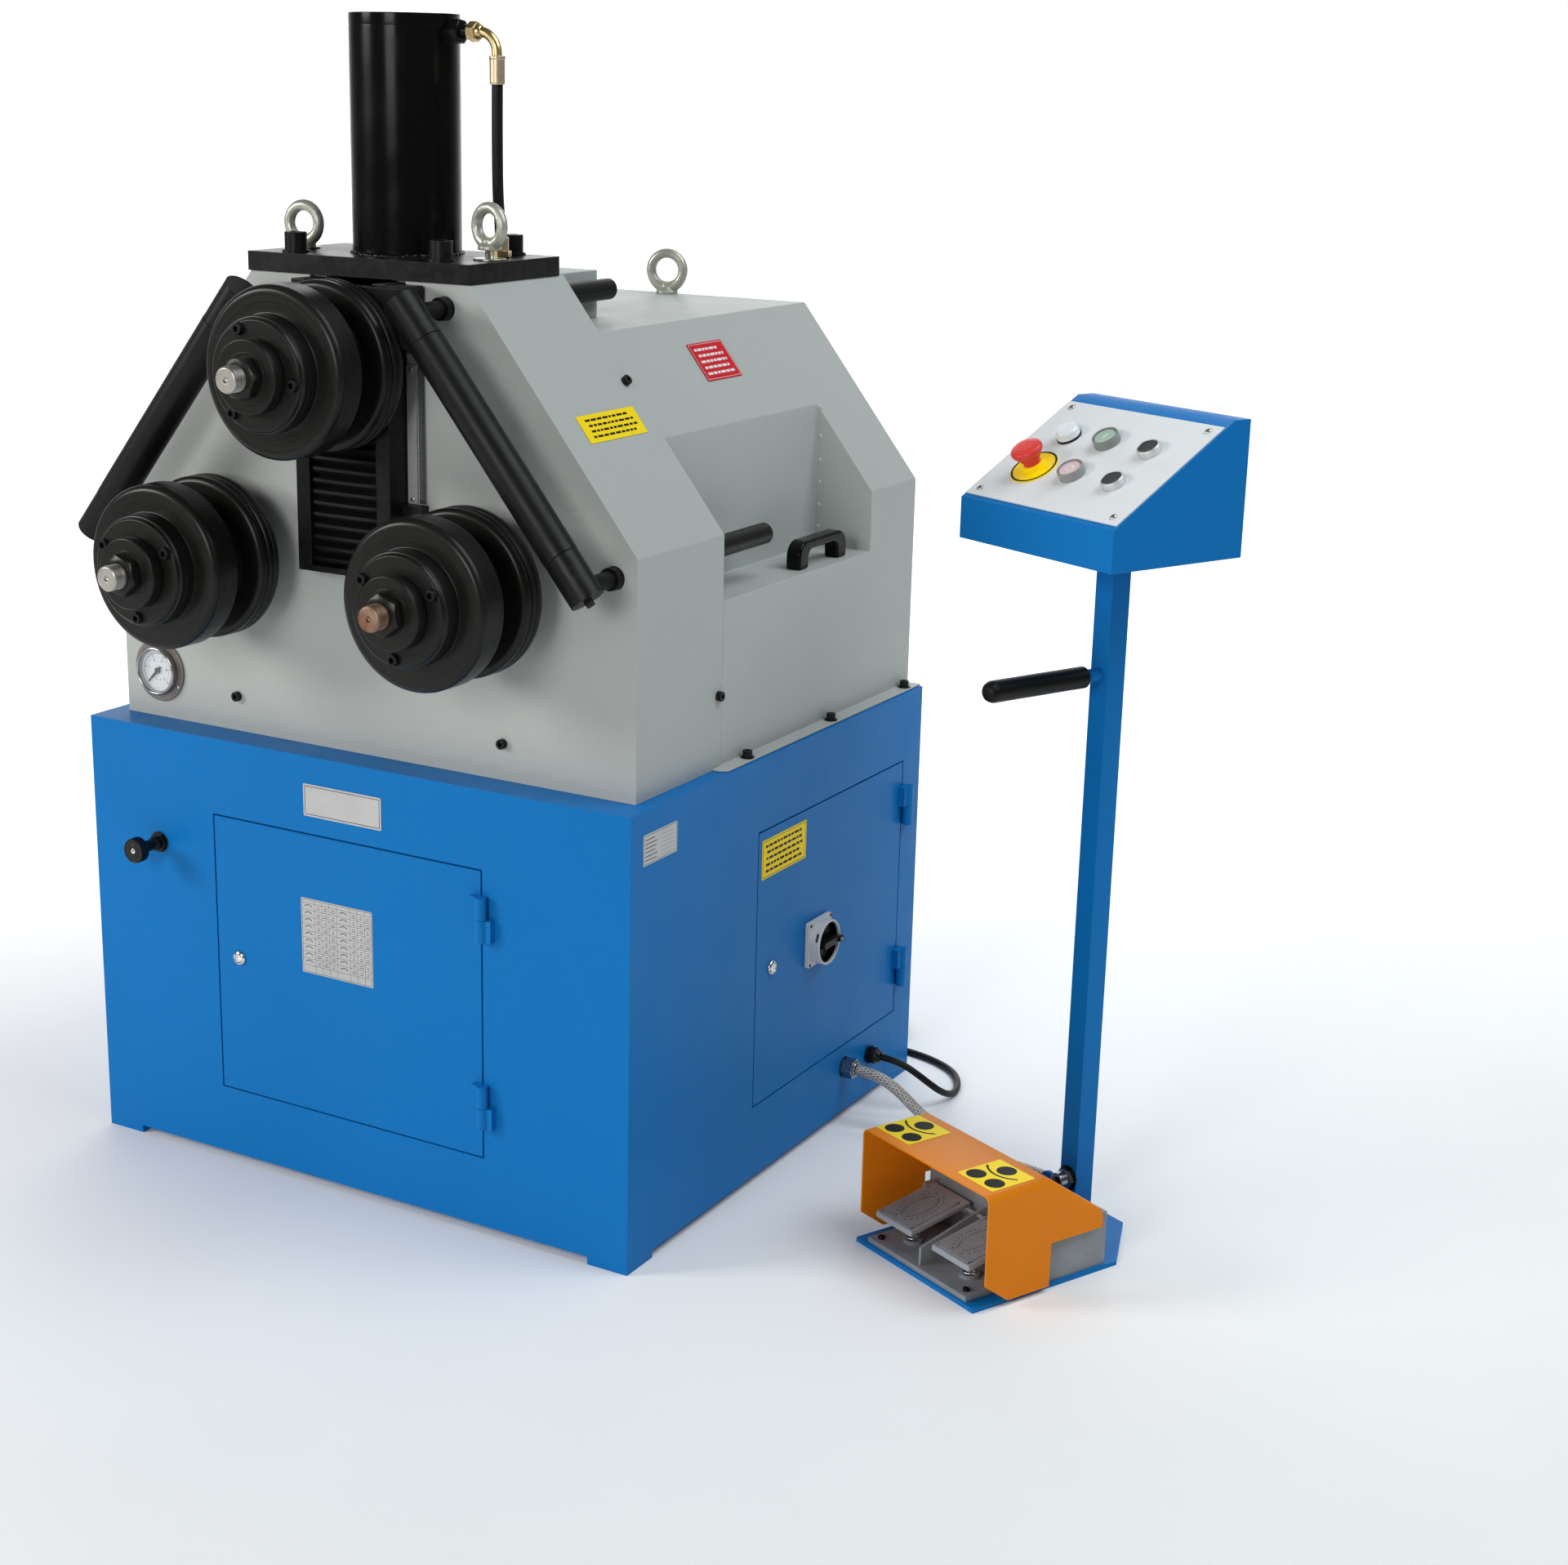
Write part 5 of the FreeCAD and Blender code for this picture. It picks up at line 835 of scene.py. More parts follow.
# main switch: square plate, guard ring with slots, handle
mm = frame_m(P(434, 483.5, 302.8), (0, 1, 0), (0, 0, 1))
sqp = []
for cx, cy, a in ((29, 29, 0), (-29, 29, 90), (-29, -29, 180), (29, -29, 270)):
    sqp += arc_pts(cx, cy, 3.5, a, a + 90, 5)
sb_ = prism_bm(sqp, 0.05, 7.0, "xy")
bevel(sb_, 0.0012, 3, 40)
bore = lathe_mesh([(0, -1), (5.9, -1), (5.9, 10), (0, 10)], 40)
bore.transform(RZ)
sb_ = boolean(sb_, bore)
piece("switch_plate", sb_, m_switch, "side_door", "main_switch_base", mm)
ringb = lathe_mesh(rounded([(28.9, 7.0, 0), (32.2, 7.0, 0), (32.0, 20.9, 1.0), (31.3, 22.0, 0.5), (29.4, 22.0, 0.6), (28.9, 21.0, 0.4)]), 144, close=True)
for a in (90, 205, 330):
    ct = bmesh.new()
    raw_box(ct, 26, 36, 15.2, 19.0, -6.0, 6.0, Matrix.Rotation(math.radians(-a), 4, "Y"))
    ringb = boolean(ringb, ct)
ringb.transform(RZ)
piece("switch_ring", ringb, m_switch, "side_door", "main_switch_base", mm)
floor_r = lathe_mesh([(6.2, 7.05), (28.8, 7.05), (28.8, 7.25), (28.0, 7.25), (6.2, 7.25)], 72, close=True)
floor_r.transform(RZ)
piece("switch_well", floor_r, m_darkplastic, "side_door", "main_switch_base", mm)
liner = lathe_mesh([(28.2, 7.3), (28.85, 7.3), (28.85, 18.2), (28.2, 18.2)], 96, close=True)
liner.transform(RZ)
piece("switch_liner", liner, m_darkplastic, "side_door", "main_switch_base", mm)
for k in range(4):
    a = math.radians(45 + 90 * k)
    sc = lathe_mesh(rounded([(0, 7.0), (2.2, 7.0, 0), (2.2, 8.0, 0.5), (0, 8.2)]), 24)
    sc.transform(RZ)
    piece("switch_screw_%d" % k, sc, m_plastic, "side_door", place=mm @ Matrix.Translation((0.0405 * math.cos(a), 0.0405 * math.sin(a), 0)))
hd = lathe_mesh(rounded([(0, 7.4), (27.2, 7.4, 0), (27.6, 8.4), (27.2, 11.2), (23.5, 12.3), (21.5, 11.4), (0, 11.4)], 0.5), 120)
hd.transform(RZ)
piece("switch_handle_disc", hd, m_darkplastic, "main_switch", "main_switch_handle", mm)
hp = [(-22, -4.4), (-20, -5.8), (16, -5.8), (24.5, -4.6), (26.2, 0), (24.5, 4.6), (16, 5.8), (-20, 5.8), (-22, 4.4)]
gb = prism_bm(hp, 11.0, 26.3, "xy")
for v in gb.verts:
    t = (v.co.z - 0.011) / 0.0153
    v.co.y *= 1.0 - 0.14 * t
bevel(gb, 0.0014, 3, 25)
piece("switch_handle_grip", gb, m_darkplastic, "main_switch", "main_switch_handle", mm)
tip = prism_bm([(17.5, -3.8), (27.5, -3.8), (32.3, 0), (27.5, 3.8), (17.5, 3.8)], 22.9, 29.2, "xy")
bevel(tip, 0.0009, 2, 25)
piece("switch_handle_pointer", tip, m_darkplastic, "main_switch", "main_switch_handle", mm)
mk = bmesh.new()
raw_box(mk, 19.5, 27.0, -0.6, 0.6, 29.15, 29.3)
piece("switch_handle_mark", mk, m_whiteink, "main_switch", place=mm)
st_ = lathe_mesh([(0, -5), (4.8, -5), (4.8, 7.7), (0, 7.7)], 32)
st_.transform(RZ)
piece("switch_spindle", st_, m_zinc, "main_switch", "main_switch_handle", mm)

# glands on the cabinet side and the post
gm = toward(P(434, 584, 78), (1, 0, 0))
gb = merge(boolean(hex_nut(26, 17.8, 1.4), lathe_mesh([(0, -1), (8.05, -1), (8.05, 22), (0, 22)], 40)),
           lathe_mesh(rounded([(8.05, 17.6, 0), (11.0, 17.6, 0), (11.0, 20.2, 0.8), (10.0, 21.2, 0.6), (8.05, 21.2, 0)]), 64, close=True))
piece("conduit_gland", gb, m_nickel, "machine", "cable_glands", gm)
piece("conduit_gland_seal", lathe_mesh(rounded([(12.4, 0.0, 0), (15.2, 0.0, 0), (15.2, 1.2, 0.5), (12.4, 1.2, 0)]), 64, close=True), m_rubber, "machine", "cable_glands", gm)
gm = toward(P(434, 659, 72), (1, 0, 0))
dome = []
for i in range(96):
    a = 2 * math.pi * i / 96
    dome.append(((11.7 + 0.45 * math.cos(a * 12)) * math.cos(a), (11.7 + 0.45 * math.cos(a * 12)) * math.sin(a)))
db = prism_bm(dome, 6.6, 15.0)
bevel(db, 0.0009, 2, 60)
merge(db, hex_nut(23, 6.5, 1.2))
db = boolean(db, lathe_mesh([(0, -1), (5.05, -1), (5.05, 30), (0, 30)], 32))
merge(db, lathe_mesh(rounded([(5.05, 14.9, 0), (10.6, 14.9, 0), (9.0, 19.5, 1.5), (7.0, 22.4, 1.0), (5.05, 22.6, 0)]), 64, close=True))
piece("mains_gland", db, m_plastic, "machine", "cable_glands", gm, sharp=50)
for nm, hx, hy, hz, dx, dy, br in (("front", 0, -15, 52, 0, -1, 5.05), ("left", -15, 0, 26, -1, 0, 8.05)):
    m = STM @ toward(Vector((hx, hy, hz)) * 0.001, (dx, dy, 0))
    g = merge(boolean(hex_nut(26, 9.0, 1.5, 30), lathe_mesh([(0, -1), (br, -1), (br, 12), (0, 12)], 40)),
              lathe_mesh(rounded([(br, 9, 0), (11.0, 9, 0), (11.0, 20.5, 1.0), (9.6, 21.8, 0.6), (br, 21.8, 0)]), 64, close=True))
    piece("post_gland_" + nm, g, m_nickel, "machine", "cable_glands", m)
    piece("post_gland_%s_seal" % nm, lathe_mesh(rounded([(13.0, 0.0, 0), (16.8, 0.0, 0), (16.8, 1.8, 0.7), (13.0, 1.8, 0)]), 64, close=True), m_rubber, "machine", "cable_glands", m)
m = STM @ toward(Vector((0, -80, 52)) * 0.001, (0, 1, 0))
piece("pedal_lead", lathe_mesh(rounded([(0, 0), (8.2, 0, 0), (8.2, 5, 0.8), (6.0, 9, 1.0), (4.9, 11, 0.6), (4.9, 58.9, 0), (0, 58.9)]), 48), m_rubber, "machine", "cable_glands", m)

# ------------------------------------------------------------------ housing and hood
refined("front_housing", m_grey, 1.6, 3)
refined("rear_hood", m_grey, 1.3, 3)
for s in (-1, 1):
    for i, z in enumerate((1010, 971, 938, 907, 875, 844)):
        o = lathe_mesh([(0, -1.0), (1.3, -0.85), (2.2, -0.35), (2.7, 0.05), (0, 0.05)], 20)
        piece("weld_dimple_%s_%d" % ("R" if s > 0 else "L", i), o, m_spot, "machine", place=toward(P(s * 326.5, 658, z), (0, 1, 0)))
    hp = [(478, 816.9), (478, 834)] + arc_pts(499, 834, 21, 180, 90, 10)[1:] + arc_pts(591, 834, 21, 90, 0, 10) + [(612, 816.9), (587, 816.9), (587, 826)] + \
        arc_pts(574, 829, 13, 0, 90, 6)[1:] + arc_pts(516, 829, 13, 90, 180, 6) + [(503, 826), (503, 816.9)]
    hb = prism_bm([(y - HALF, z) for y, z in hp], s * 385 - 11, s * 385 + 11, "yz")
    bevel(hb, 0.0034, 4, 40)
    piece("ledge_handle_%s" % ("R" if s > 0 else "L"), hb, m_gloss_black, "machine", "ledge_handles", sharp=50)
refined("roll_frame", m_frame, 1.0, 2)

# guide rails with their end screws, scale strips, bellows
refined("guide_rails", m_black, 0.9, 2)
refined("scale_strips", m_scale, 0.2, 2)
tk = bmesh.new()
for i in range(79):
    z = 943 + i * 2
    w = 7.5 if i % 5 == 0 else 4.6
    raw_box(tk, 93.2, 93.2 + w, 46.5 - HALF, 46.62 - HALF, z - 0.16, z + 0.16)
piece("scale_ticks", tk, m_tick, "machine")
tb = bmesh.new()
raw_box(tb, 92.65, 102.55, 46.55 - HALF, 46.7 - HALF, 936.4, 1105.6)
piece("scale_band", tb, m_scaledark, "machine")
for z in (941, 1100):
    piece("scale_screw_%d" % z, boolean(lathe_mesh(rounded([(0, 0), (2.6, 0, 0), (2.6, -1.3, 0.5), (0, -1.7)]), 24), prism_bm([(-0.3, -3), (0.3, -3), (0.3, 3), (-0.3, 3)], -3, -1.1)), m_chrome, "machine",
          place=at(82.3, 46.2, z))
bw = bmesh.new()
folds, z0, z1 = 14, 849.3, 1048.5
nx = 12
rows = []
for k in range(folds * 4 + 1):
    t = k / (folds * 4)
    z = z0 + (z1 - z0) * t
    ph = (k % 4)
    d = {0: 22.6, 1: 18.0, 2: 13.8, 3: 14.6}[ph]
    row = []
    for i in range(nx + 1):
        u = i / nx
        x = -51.3 + 102.6 * u
        sag = -0.5 * (1 - (2 * u - 1) ** 2) + 0.15 * math.sin(u * 5.0 + k * 0.9)
        edge = 1.0 - max(0.0, abs(2 * u - 1) - 0.94) / 0.06 * 0.25
        zz = z + sag * (0.35 if k in (0, folds * 4) else 1.0) * min(1.0, t * 12, (1 - t) * 12)
        row.append(bw.verts.new(Vector((x, 22 - (22 - d) * edge - HALF, zz)) * 0.001))
    rows.append(row)
for a, b in zip(rows, rows[1:]):
    for i in range(nx):
        bw.faces.new((a[i], a[i + 1], b[i + 1], b[i]))
back_lo = [bw.verts.new(Vector((v.co.x, (43.5 - HALF) * 0.001, v.co.z))) for v in rows[0]]
back_hi = [bw.verts.new(Vector((v.co.x, (43.5 - HALF) * 0.001, v.co.z))) for v in rows[-1]]
for i in range(nx):
    bw.faces.new((rows[0][i + 1], rows[0][i], back_lo[i], back_lo[i + 1]))
    bw.faces.new((rows[-1][i], rows[-1][i + 1], back_hi[i + 1], back_hi[i]))
    bw.faces.new((back_lo[i + 1], back_lo[i], back_hi[i], back_hi[i + 1]))
for side in (0, nx):
    vs = [r[side] for r in rows] + [back_hi[side], back_lo[side]]
    bw.faces.new(vs if side else list(reversed(vs)))
bmesh.ops.recalc_face_normals(bw, faces=bw.faces)
bel = piece("bellows", bw, m_bellows, "machine", "slide_bellows", sharp=24, weighted=False)
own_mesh(bel)
refined("slide_block", m_black, 0.9, 2)
refined("piston_rod", m_bright, 0.4, 2)

# ------------------------------------------------------------------ ram
refined("top_plate", m_black, 1.4, 3)
br = lathe_mesh(rounded([(0, 1230.6), (68.5, 1230.6, 0), (68.5, 1503, 0), (68.2, 1503.6, 0), (68.2, 1504.6, 0), (68.5, 1505.2, 0), (68.5, 1519, 1.6), (52, 1519, 0.6), (51, 1516.5, 0.6), (22, 1516.5, 0.5), (20, 1518.6, 0.6), (0, 1518.6)], 0.8), 160)
piece("barrel", br, m_gloss_black, "machine", "cylinder_barrel", Matrix.Translation(P(0, 152, 0)) @ RZ)
wb = bmesh.new()
N, M = 240, 10
ring = []
for i in range(N):
    a = 2 * math.pi * i / N
    lump = 0.5 + 0.5 * math.cos(a * 46 + 0.8 * math.sin(a * 5))
    rr = 3.6 + 1.0 * lump + 0.5 * noise.noise(Vector((math.cos(a) * 4, math.sin(a) * 4, 0)))
    ring.append([wb.verts.new(Vector(((67.2 + rr * math.cos(math.radians(90 * j / (M - 1)))) * math.cos(a), (67.2 + rr * math.cos(math.radians(90 * j / (M - 1)))) * math.sin(a), 1230.2 + rr * math.sin(math.radians(90 * j / (M - 1))))) * 0.001) for j in range(M)])
for i in range(N):
    a, b = ring[i], ring[(i + 1) % N]
    for j in range(M - 1):
        wb.faces.new((a[j], b[j], b[j + 1], a[j + 1]))
    wb.faces.new((a[M - 1], b[M - 1], b[0], a[0]))
bmesh.ops.recalc_face_normals(wb, faces=wb.faces)
piece("barrel_weld", wb, m_gloss_black, "machine", place=Matrix.Translation(P(0, 152, 0)), sharp=70, weighted=False)

fx = Matrix.Translation(P(0, 150, 1498)) @ Matrix.Rotation(math.radians(-90), 4, "Z")
piece("port_adapter_hex", hex_nut(27, 24.5, 2.4, 8), m_gloss_black, "machine", "hose_fittings", fx @ Matrix.Translation((0, 0.0655, 0)))
ad = lathe_mesh(rounded([(0, 88), (8.6, 88, 0), (8.6, 96, 0.6), (7.8, 98.5, 0.8), (7.8, 103, 0), (0, 103)]), 64)
piece("port_adapter", ad, m_gloss_black, "machine", "hose_fittings", fx)
piece("port_union_nut", hex_nut(21.5, 13, 1.6, 20), m_yzinc, "machine", "hose_fittings", fx @ Matrix.Translation((0, 0.1, 0)))
line = [P(110, 150, 1498), P(113, 150, 1498)] + [P(115 + 24.5 * math.sin(math.radians(a)), 150, 1473.5 + 24.5 * math.cos(math.radians(a))) for a in range(6, 91, 6)] + [P(139.7, 150, 1471), P(139.9, 150, 1468)]
piece("port_elbow", tube_bm(line, 0.0063, 32), m_yzinc, "machine", "hose_fittings", sharp=50)
col_ = lathe_mesh(rounded([(0, 0), (9.6, 0, 0), (9.0, 3, 1.2), (7.0, 6.5, 1.5), (0, 6.5)]), 48)
piece("port_elbow_collar", col_, m_yzinc, "machine", "hose_fittings", toward(P(112.4, 150, 1498), (1, 0, 0)))
fr_ = lathe_mesh(rounded([(7.1, 1437, 0), (9.2, 1437, 0.3), (9.45, 1440), (9.55, 1466), (10.0, 1467.4), (10.0, 1470.0, 0.5), (8.6, 1470.6, 0.4), (6.0, 1470.8, 0), (6.0, 1466, 0)], 0.4), 72, close=True)
piece("hose_ferrule_top", fr_, m_tan, "machine", "hose_fittings", Matrix.Translation(P(140, 150, 0)) @ RZ)
un = lathe_mesh(rounded([(7.1, 1239.6, 0), (10.2, 1239.6, 0), (10.2, 1254.3, 1.0), (9.4, 1255.4, 0.4), (7.1, 1255.4, 0)]), 64, close=True)
piece("hose_ferrule_low", un, m_tan, "machine", "hose_fittings", Matrix.Translation(P(128, 172, 0)) @ RZ)
piece("hose_union_hex", hex_nut(24, 9.0, 1.4, 12), m_yzinc, "machine", "hose_fittings", Matrix.Translation(P(128, 172, 1230.55)) @ RZ)

for nm, x, y, zb, turn, big, lift, up in (("right", 144, 126, 1230.5, -11.0, 22.0, 12.0, 28.8), ("left", -144, 126, 1230.5, 4.5, 22.0, 3.0, 28.8), ("rear", 0, 778, 1138.8, 11.0, 24.5, 0.0, 34.0)):
    eb = bmesh.new()
    N, M = 96, 28
    ring = []
    for i in range(N):
        a = 2 * math.pi * i / N
        ca, sa = math.cos(a), math.sin(a)
        low = max(0.0, -sa) ** 3
        rr = 7.1 + 1.5 * low
        row = []
        for j in range(M):
            b = 2 * math.pi * j / M
            q = big + rr * math.cos(b) * (1.02 if math.cos(b) > 0 else 1.0)
            p = Vector((q * ca, rr * 0.98 * math.sin(b), q * sa))
            p += p.normalized() * (0.22 * noise.noise(p * 0.35 + Vector((nm == "left", 3, nm == "rear"))) + 0.20 * noise.noise(p * 1.1))
            row.append(eb.verts.new(p * 0.001))
        ring.append(row)
    for i in range(N):
        for j in range(M):
            eb.faces.new((ring[i][j], ring[(i + 1) % N][j], ring[(i + 1) % N][(j + 1) % M], ring[i][(j + 1) % M]))
    bmesh.ops.recalc_face_normals(eb, faces=eb.faces)
    zc = zb + lift + up
    m = Matrix.Translation(P(x, y, zc)) @ Matrix.Rotation(math.radians(turn), 4, "Z")
    piece("eye_%s_ring" % nm, eb, m_eye, "machine", "lifting_eyes", m, sharp=80, weighted=False)
    fr0 = 16.0 if nm == "rear" else 14.6
    ft = lathe_mesh(rounded([(0, -up + 0.1), (fr0 - 0.4, -up + 0.1, 0), (fr0, -up + 1.0, 0.4), (fr0, -up + 4.6, 1.0), (fr0 - 3.5, -up + 7.0, 2.0), (9.2, -up + 10.5, 3.0), (9.5, -big + 6.0, 1.0), (0, -big + 6.0)]), 64)
    piece("eye_%s_foot" % nm, ft, m_eye, "machine", "lifting_eyes", Matrix.Translation(P(x, y, zc)) @ RZ)
    if lift:
        stem = lathe_mesh(rounded([(0, -9.0), (5.6, -9.0, 0)] + [(5.6 - 0.35 * (i % 2), -9.0 + 0.75 * (i + 1)) for i in range(int((lift + 9.0) / 0.75) - 1)] + [(5.6, lift + 0.3, 0), (0, lift + 0.3, 0)], 0.0), 40)
        piece("eye_%s_stem" % nm, stem, m_zinc, "machine", "lifting_eyes", Matrix.Translation(P(x, y, zb)) @ RZ)
        wz = 2.4 if lift > 5 else 2.9
        piece("eye_%s_washer" % nm, lathe_mesh(rounded([(6.0, 0.05, 0), (19.6, 0.05, 0), (20.0, 0.6, 0.3), (20.0, wz - 0.5, 0.3), (19.4, wz, 0.3), (6.0, wz, 0)]), 96, close=True), m_zinc, "machine", "lifting_eyes", Matrix.Translation(P(x, y, zb)) @ RZ)

scr = {}


def screw(node_name, body, p, d, r, h, af, depth, w_r=0.0, w_h=0.0, mat=None, turn=0.0):
    """A socket cap screw with its head pointing along d from p, and a washer."""
    m = toward(p, -Vector(d)) @ Matrix.Rotation(math.radians(turn), 4, "Y")
    key = (r, h, af, depth, w_r, w_h)
    if key not in scr:
        bm = bmesh.new()
        if w_r:
            merge(bm, washer(w_r, w_h))
        merge(bm, socket_head(r, h, af, depth), Matrix.Translation((0, -w_h * 0.001, 0)))
        scr[key] = to_mesh(bm, "screw", 35)
    k = len([o for o in col.objects if o.name.startswith("screw_")])
    link("screw_%02d" % k, scr[key].copy(), mat or m_black, node_name, body, m)


nsl = Vector((1206.5 - 901.4, 0, 409.6 - 168.0)).normalized()
for s in (-1, 1):
    for y in (70, 220):
        screw("cap_screws", "machine", P(s * 112, y, 1230.5), (0, 0, 1), 14, 22, 14, 11, 17, 3, turn=17 * s + y)
    screw("cap_screws", "machine", P(s * 214, 49.2, 647.7), (0, -1, 0), 6.5, 7, 6, 4, turn=20)
    screw("cap_screws", "machine", P(s * 409.6, 243, 696.3), (s, 0, 0), 6.5, 7, 6, 4, turn=50)
    screw("cap_screws", "machine", P(s * 267.25, 241.8, 1081.24), (s * nsl.x, 0, nsl.z), 6.5, 7, 6, 4, turn=35)
    for y in (304, 535, 762):
        screw("cap_screws", "machine", P(s * 420, y, 603), (0, 0, 1), 6.5, 8, 6, 4, 9, 2, turn=y)

# ------------------------------------------------------------------ pressure gauge
gm = at(-349, 0, 665)
piece("gauge_flange", lathe_mesh(rounded([(31.0, 49.1, 0), (42.4, 49.1, 0), (42.4, 46.6, 0.8), (41.6, 46.2, 0.4), (34.0, 46.2, 0), (31.0, 46.2, 0)]), 128, close=True), m_flange, "machine", "pressure_gauge", gm)
piece("gauge_bezel", lathe_mesh(rounded([(28.7, 44.4, 0), (28.7, 38.4, 0.4), (29.4, 36.6, 0.8), (31.0, 36.0, 0.8), (33.0, 37.0, 1.2), (33.0, 44.0, 0), (33.6, 46.3, 0.6), (30.0, 46.3, 0)]), 128, close=True), m_bezel, "machine", "pressure_gauge", gm)
piece("gauge_can", lathe_mesh(rounded([(0, 81), (30.9, 81), (31.2, 79), (31.2, 49.4, 0), (28.6, 45.2, 0), (0, 45.2, 0)], 0.8), 96), m_plate, "machine", "pressure_gauge", gm)
piece("gauge_dial", lathe_mesh([(2.06, 44.5), (28.6, 44.5), (28.6, 45.1), (2.06, 45.1)], 96, close=True), m_dial, "machine", "pressure_gauge", gm)
tk = bmesh.new()
for i in range(51):
    a = math.radians(225 - 270 * i / 50)
    big = i % 10 == 0
    r0, r1, w = (19.5 if big else (21.5 if i % 5 == 0 else 22.5)), 24.5, (0.45 if big else 0.2)
    raw_box(tk, r0, r1, 44.38, 44.55, -w, w, Matrix.Rotation(-a, 4, "Y"))
for r0 in (24.6, 18.2):
    pts = arc_pts(0, 0, r0 + 0.28, -45, 225, 60) + arc_pts(0, 0, r0, 225, -45, 60)
    merge(tk, prism_bm(pts, 44.4, 44.55))
for x in (-3.4, 3.4):
    merge(tk, lathe_mesh([(0, 44.4), (0.9, 44.4), (0.9, 44.55), (0, 44.55)], 16), Matrix.Translation((x * 0.001, 0, -0.0125)))
piece("gauge_ticks", tk, m_ink, "machine", place=gm)
for i in range(6):
    a = math.radians(225 - 270 * i / 5)
    cu = bpy.data.curves.new("num", "FONT")
    cu.body, cu.size, cu.align_x, cu.align_y, cu.extrude = str(i * 5), 0.0042, "CENTER", "CENTER", 0.00008
    tmp = bpy.data.objects.new("num", cu)
    col.objects.link(tmp)
    me = bpy.data.meshes.new_from_object(tmp.evaluated_get(bpy.context.evaluated_depsgraph_get()))
    bpy.data.objects.remove(tmp)
    bpy.data.curves.remove(cu)
    link("gauge_number_%d" % i, me, m_ink, None, "machine", gm @ Matrix.Translation((0.0148 * math.cos(a), 0.0444, 0.0148 * math.sin(a))) @ Matrix.Rotation(math.radians(90), 4, "X"), weighted=False)
piece("gauge_glass", lathe_mesh([(0, 38.6), (28.6, 38.6), (28.6, 39.4), (0, 39.4)], 96), m_glass, "machine", "pressure_gauge", gm)
for k in range(3):
    a = math.radians(90 + 120 * k)
    piece("gauge_screw_%d" % k, boolean(lathe_mesh(rounded([(0, 46.2), (2.3, 46.2, 0), (2.3, 44.9, 0.7), (0, 44.2)]), 28), prism_bm([(-0.35, -3), (0.35, -3), (0.35, 3), (-0.35, 3)], 43, 44.8)), m_chrome, "machine",
          place=gm @ Matrix.Translation((0.038 * math.cos(a), 0, 0.038 * math.sin(a))))
refine_at("gauge_needle", m_ink, P(-349, 42, 665), width=0.0)

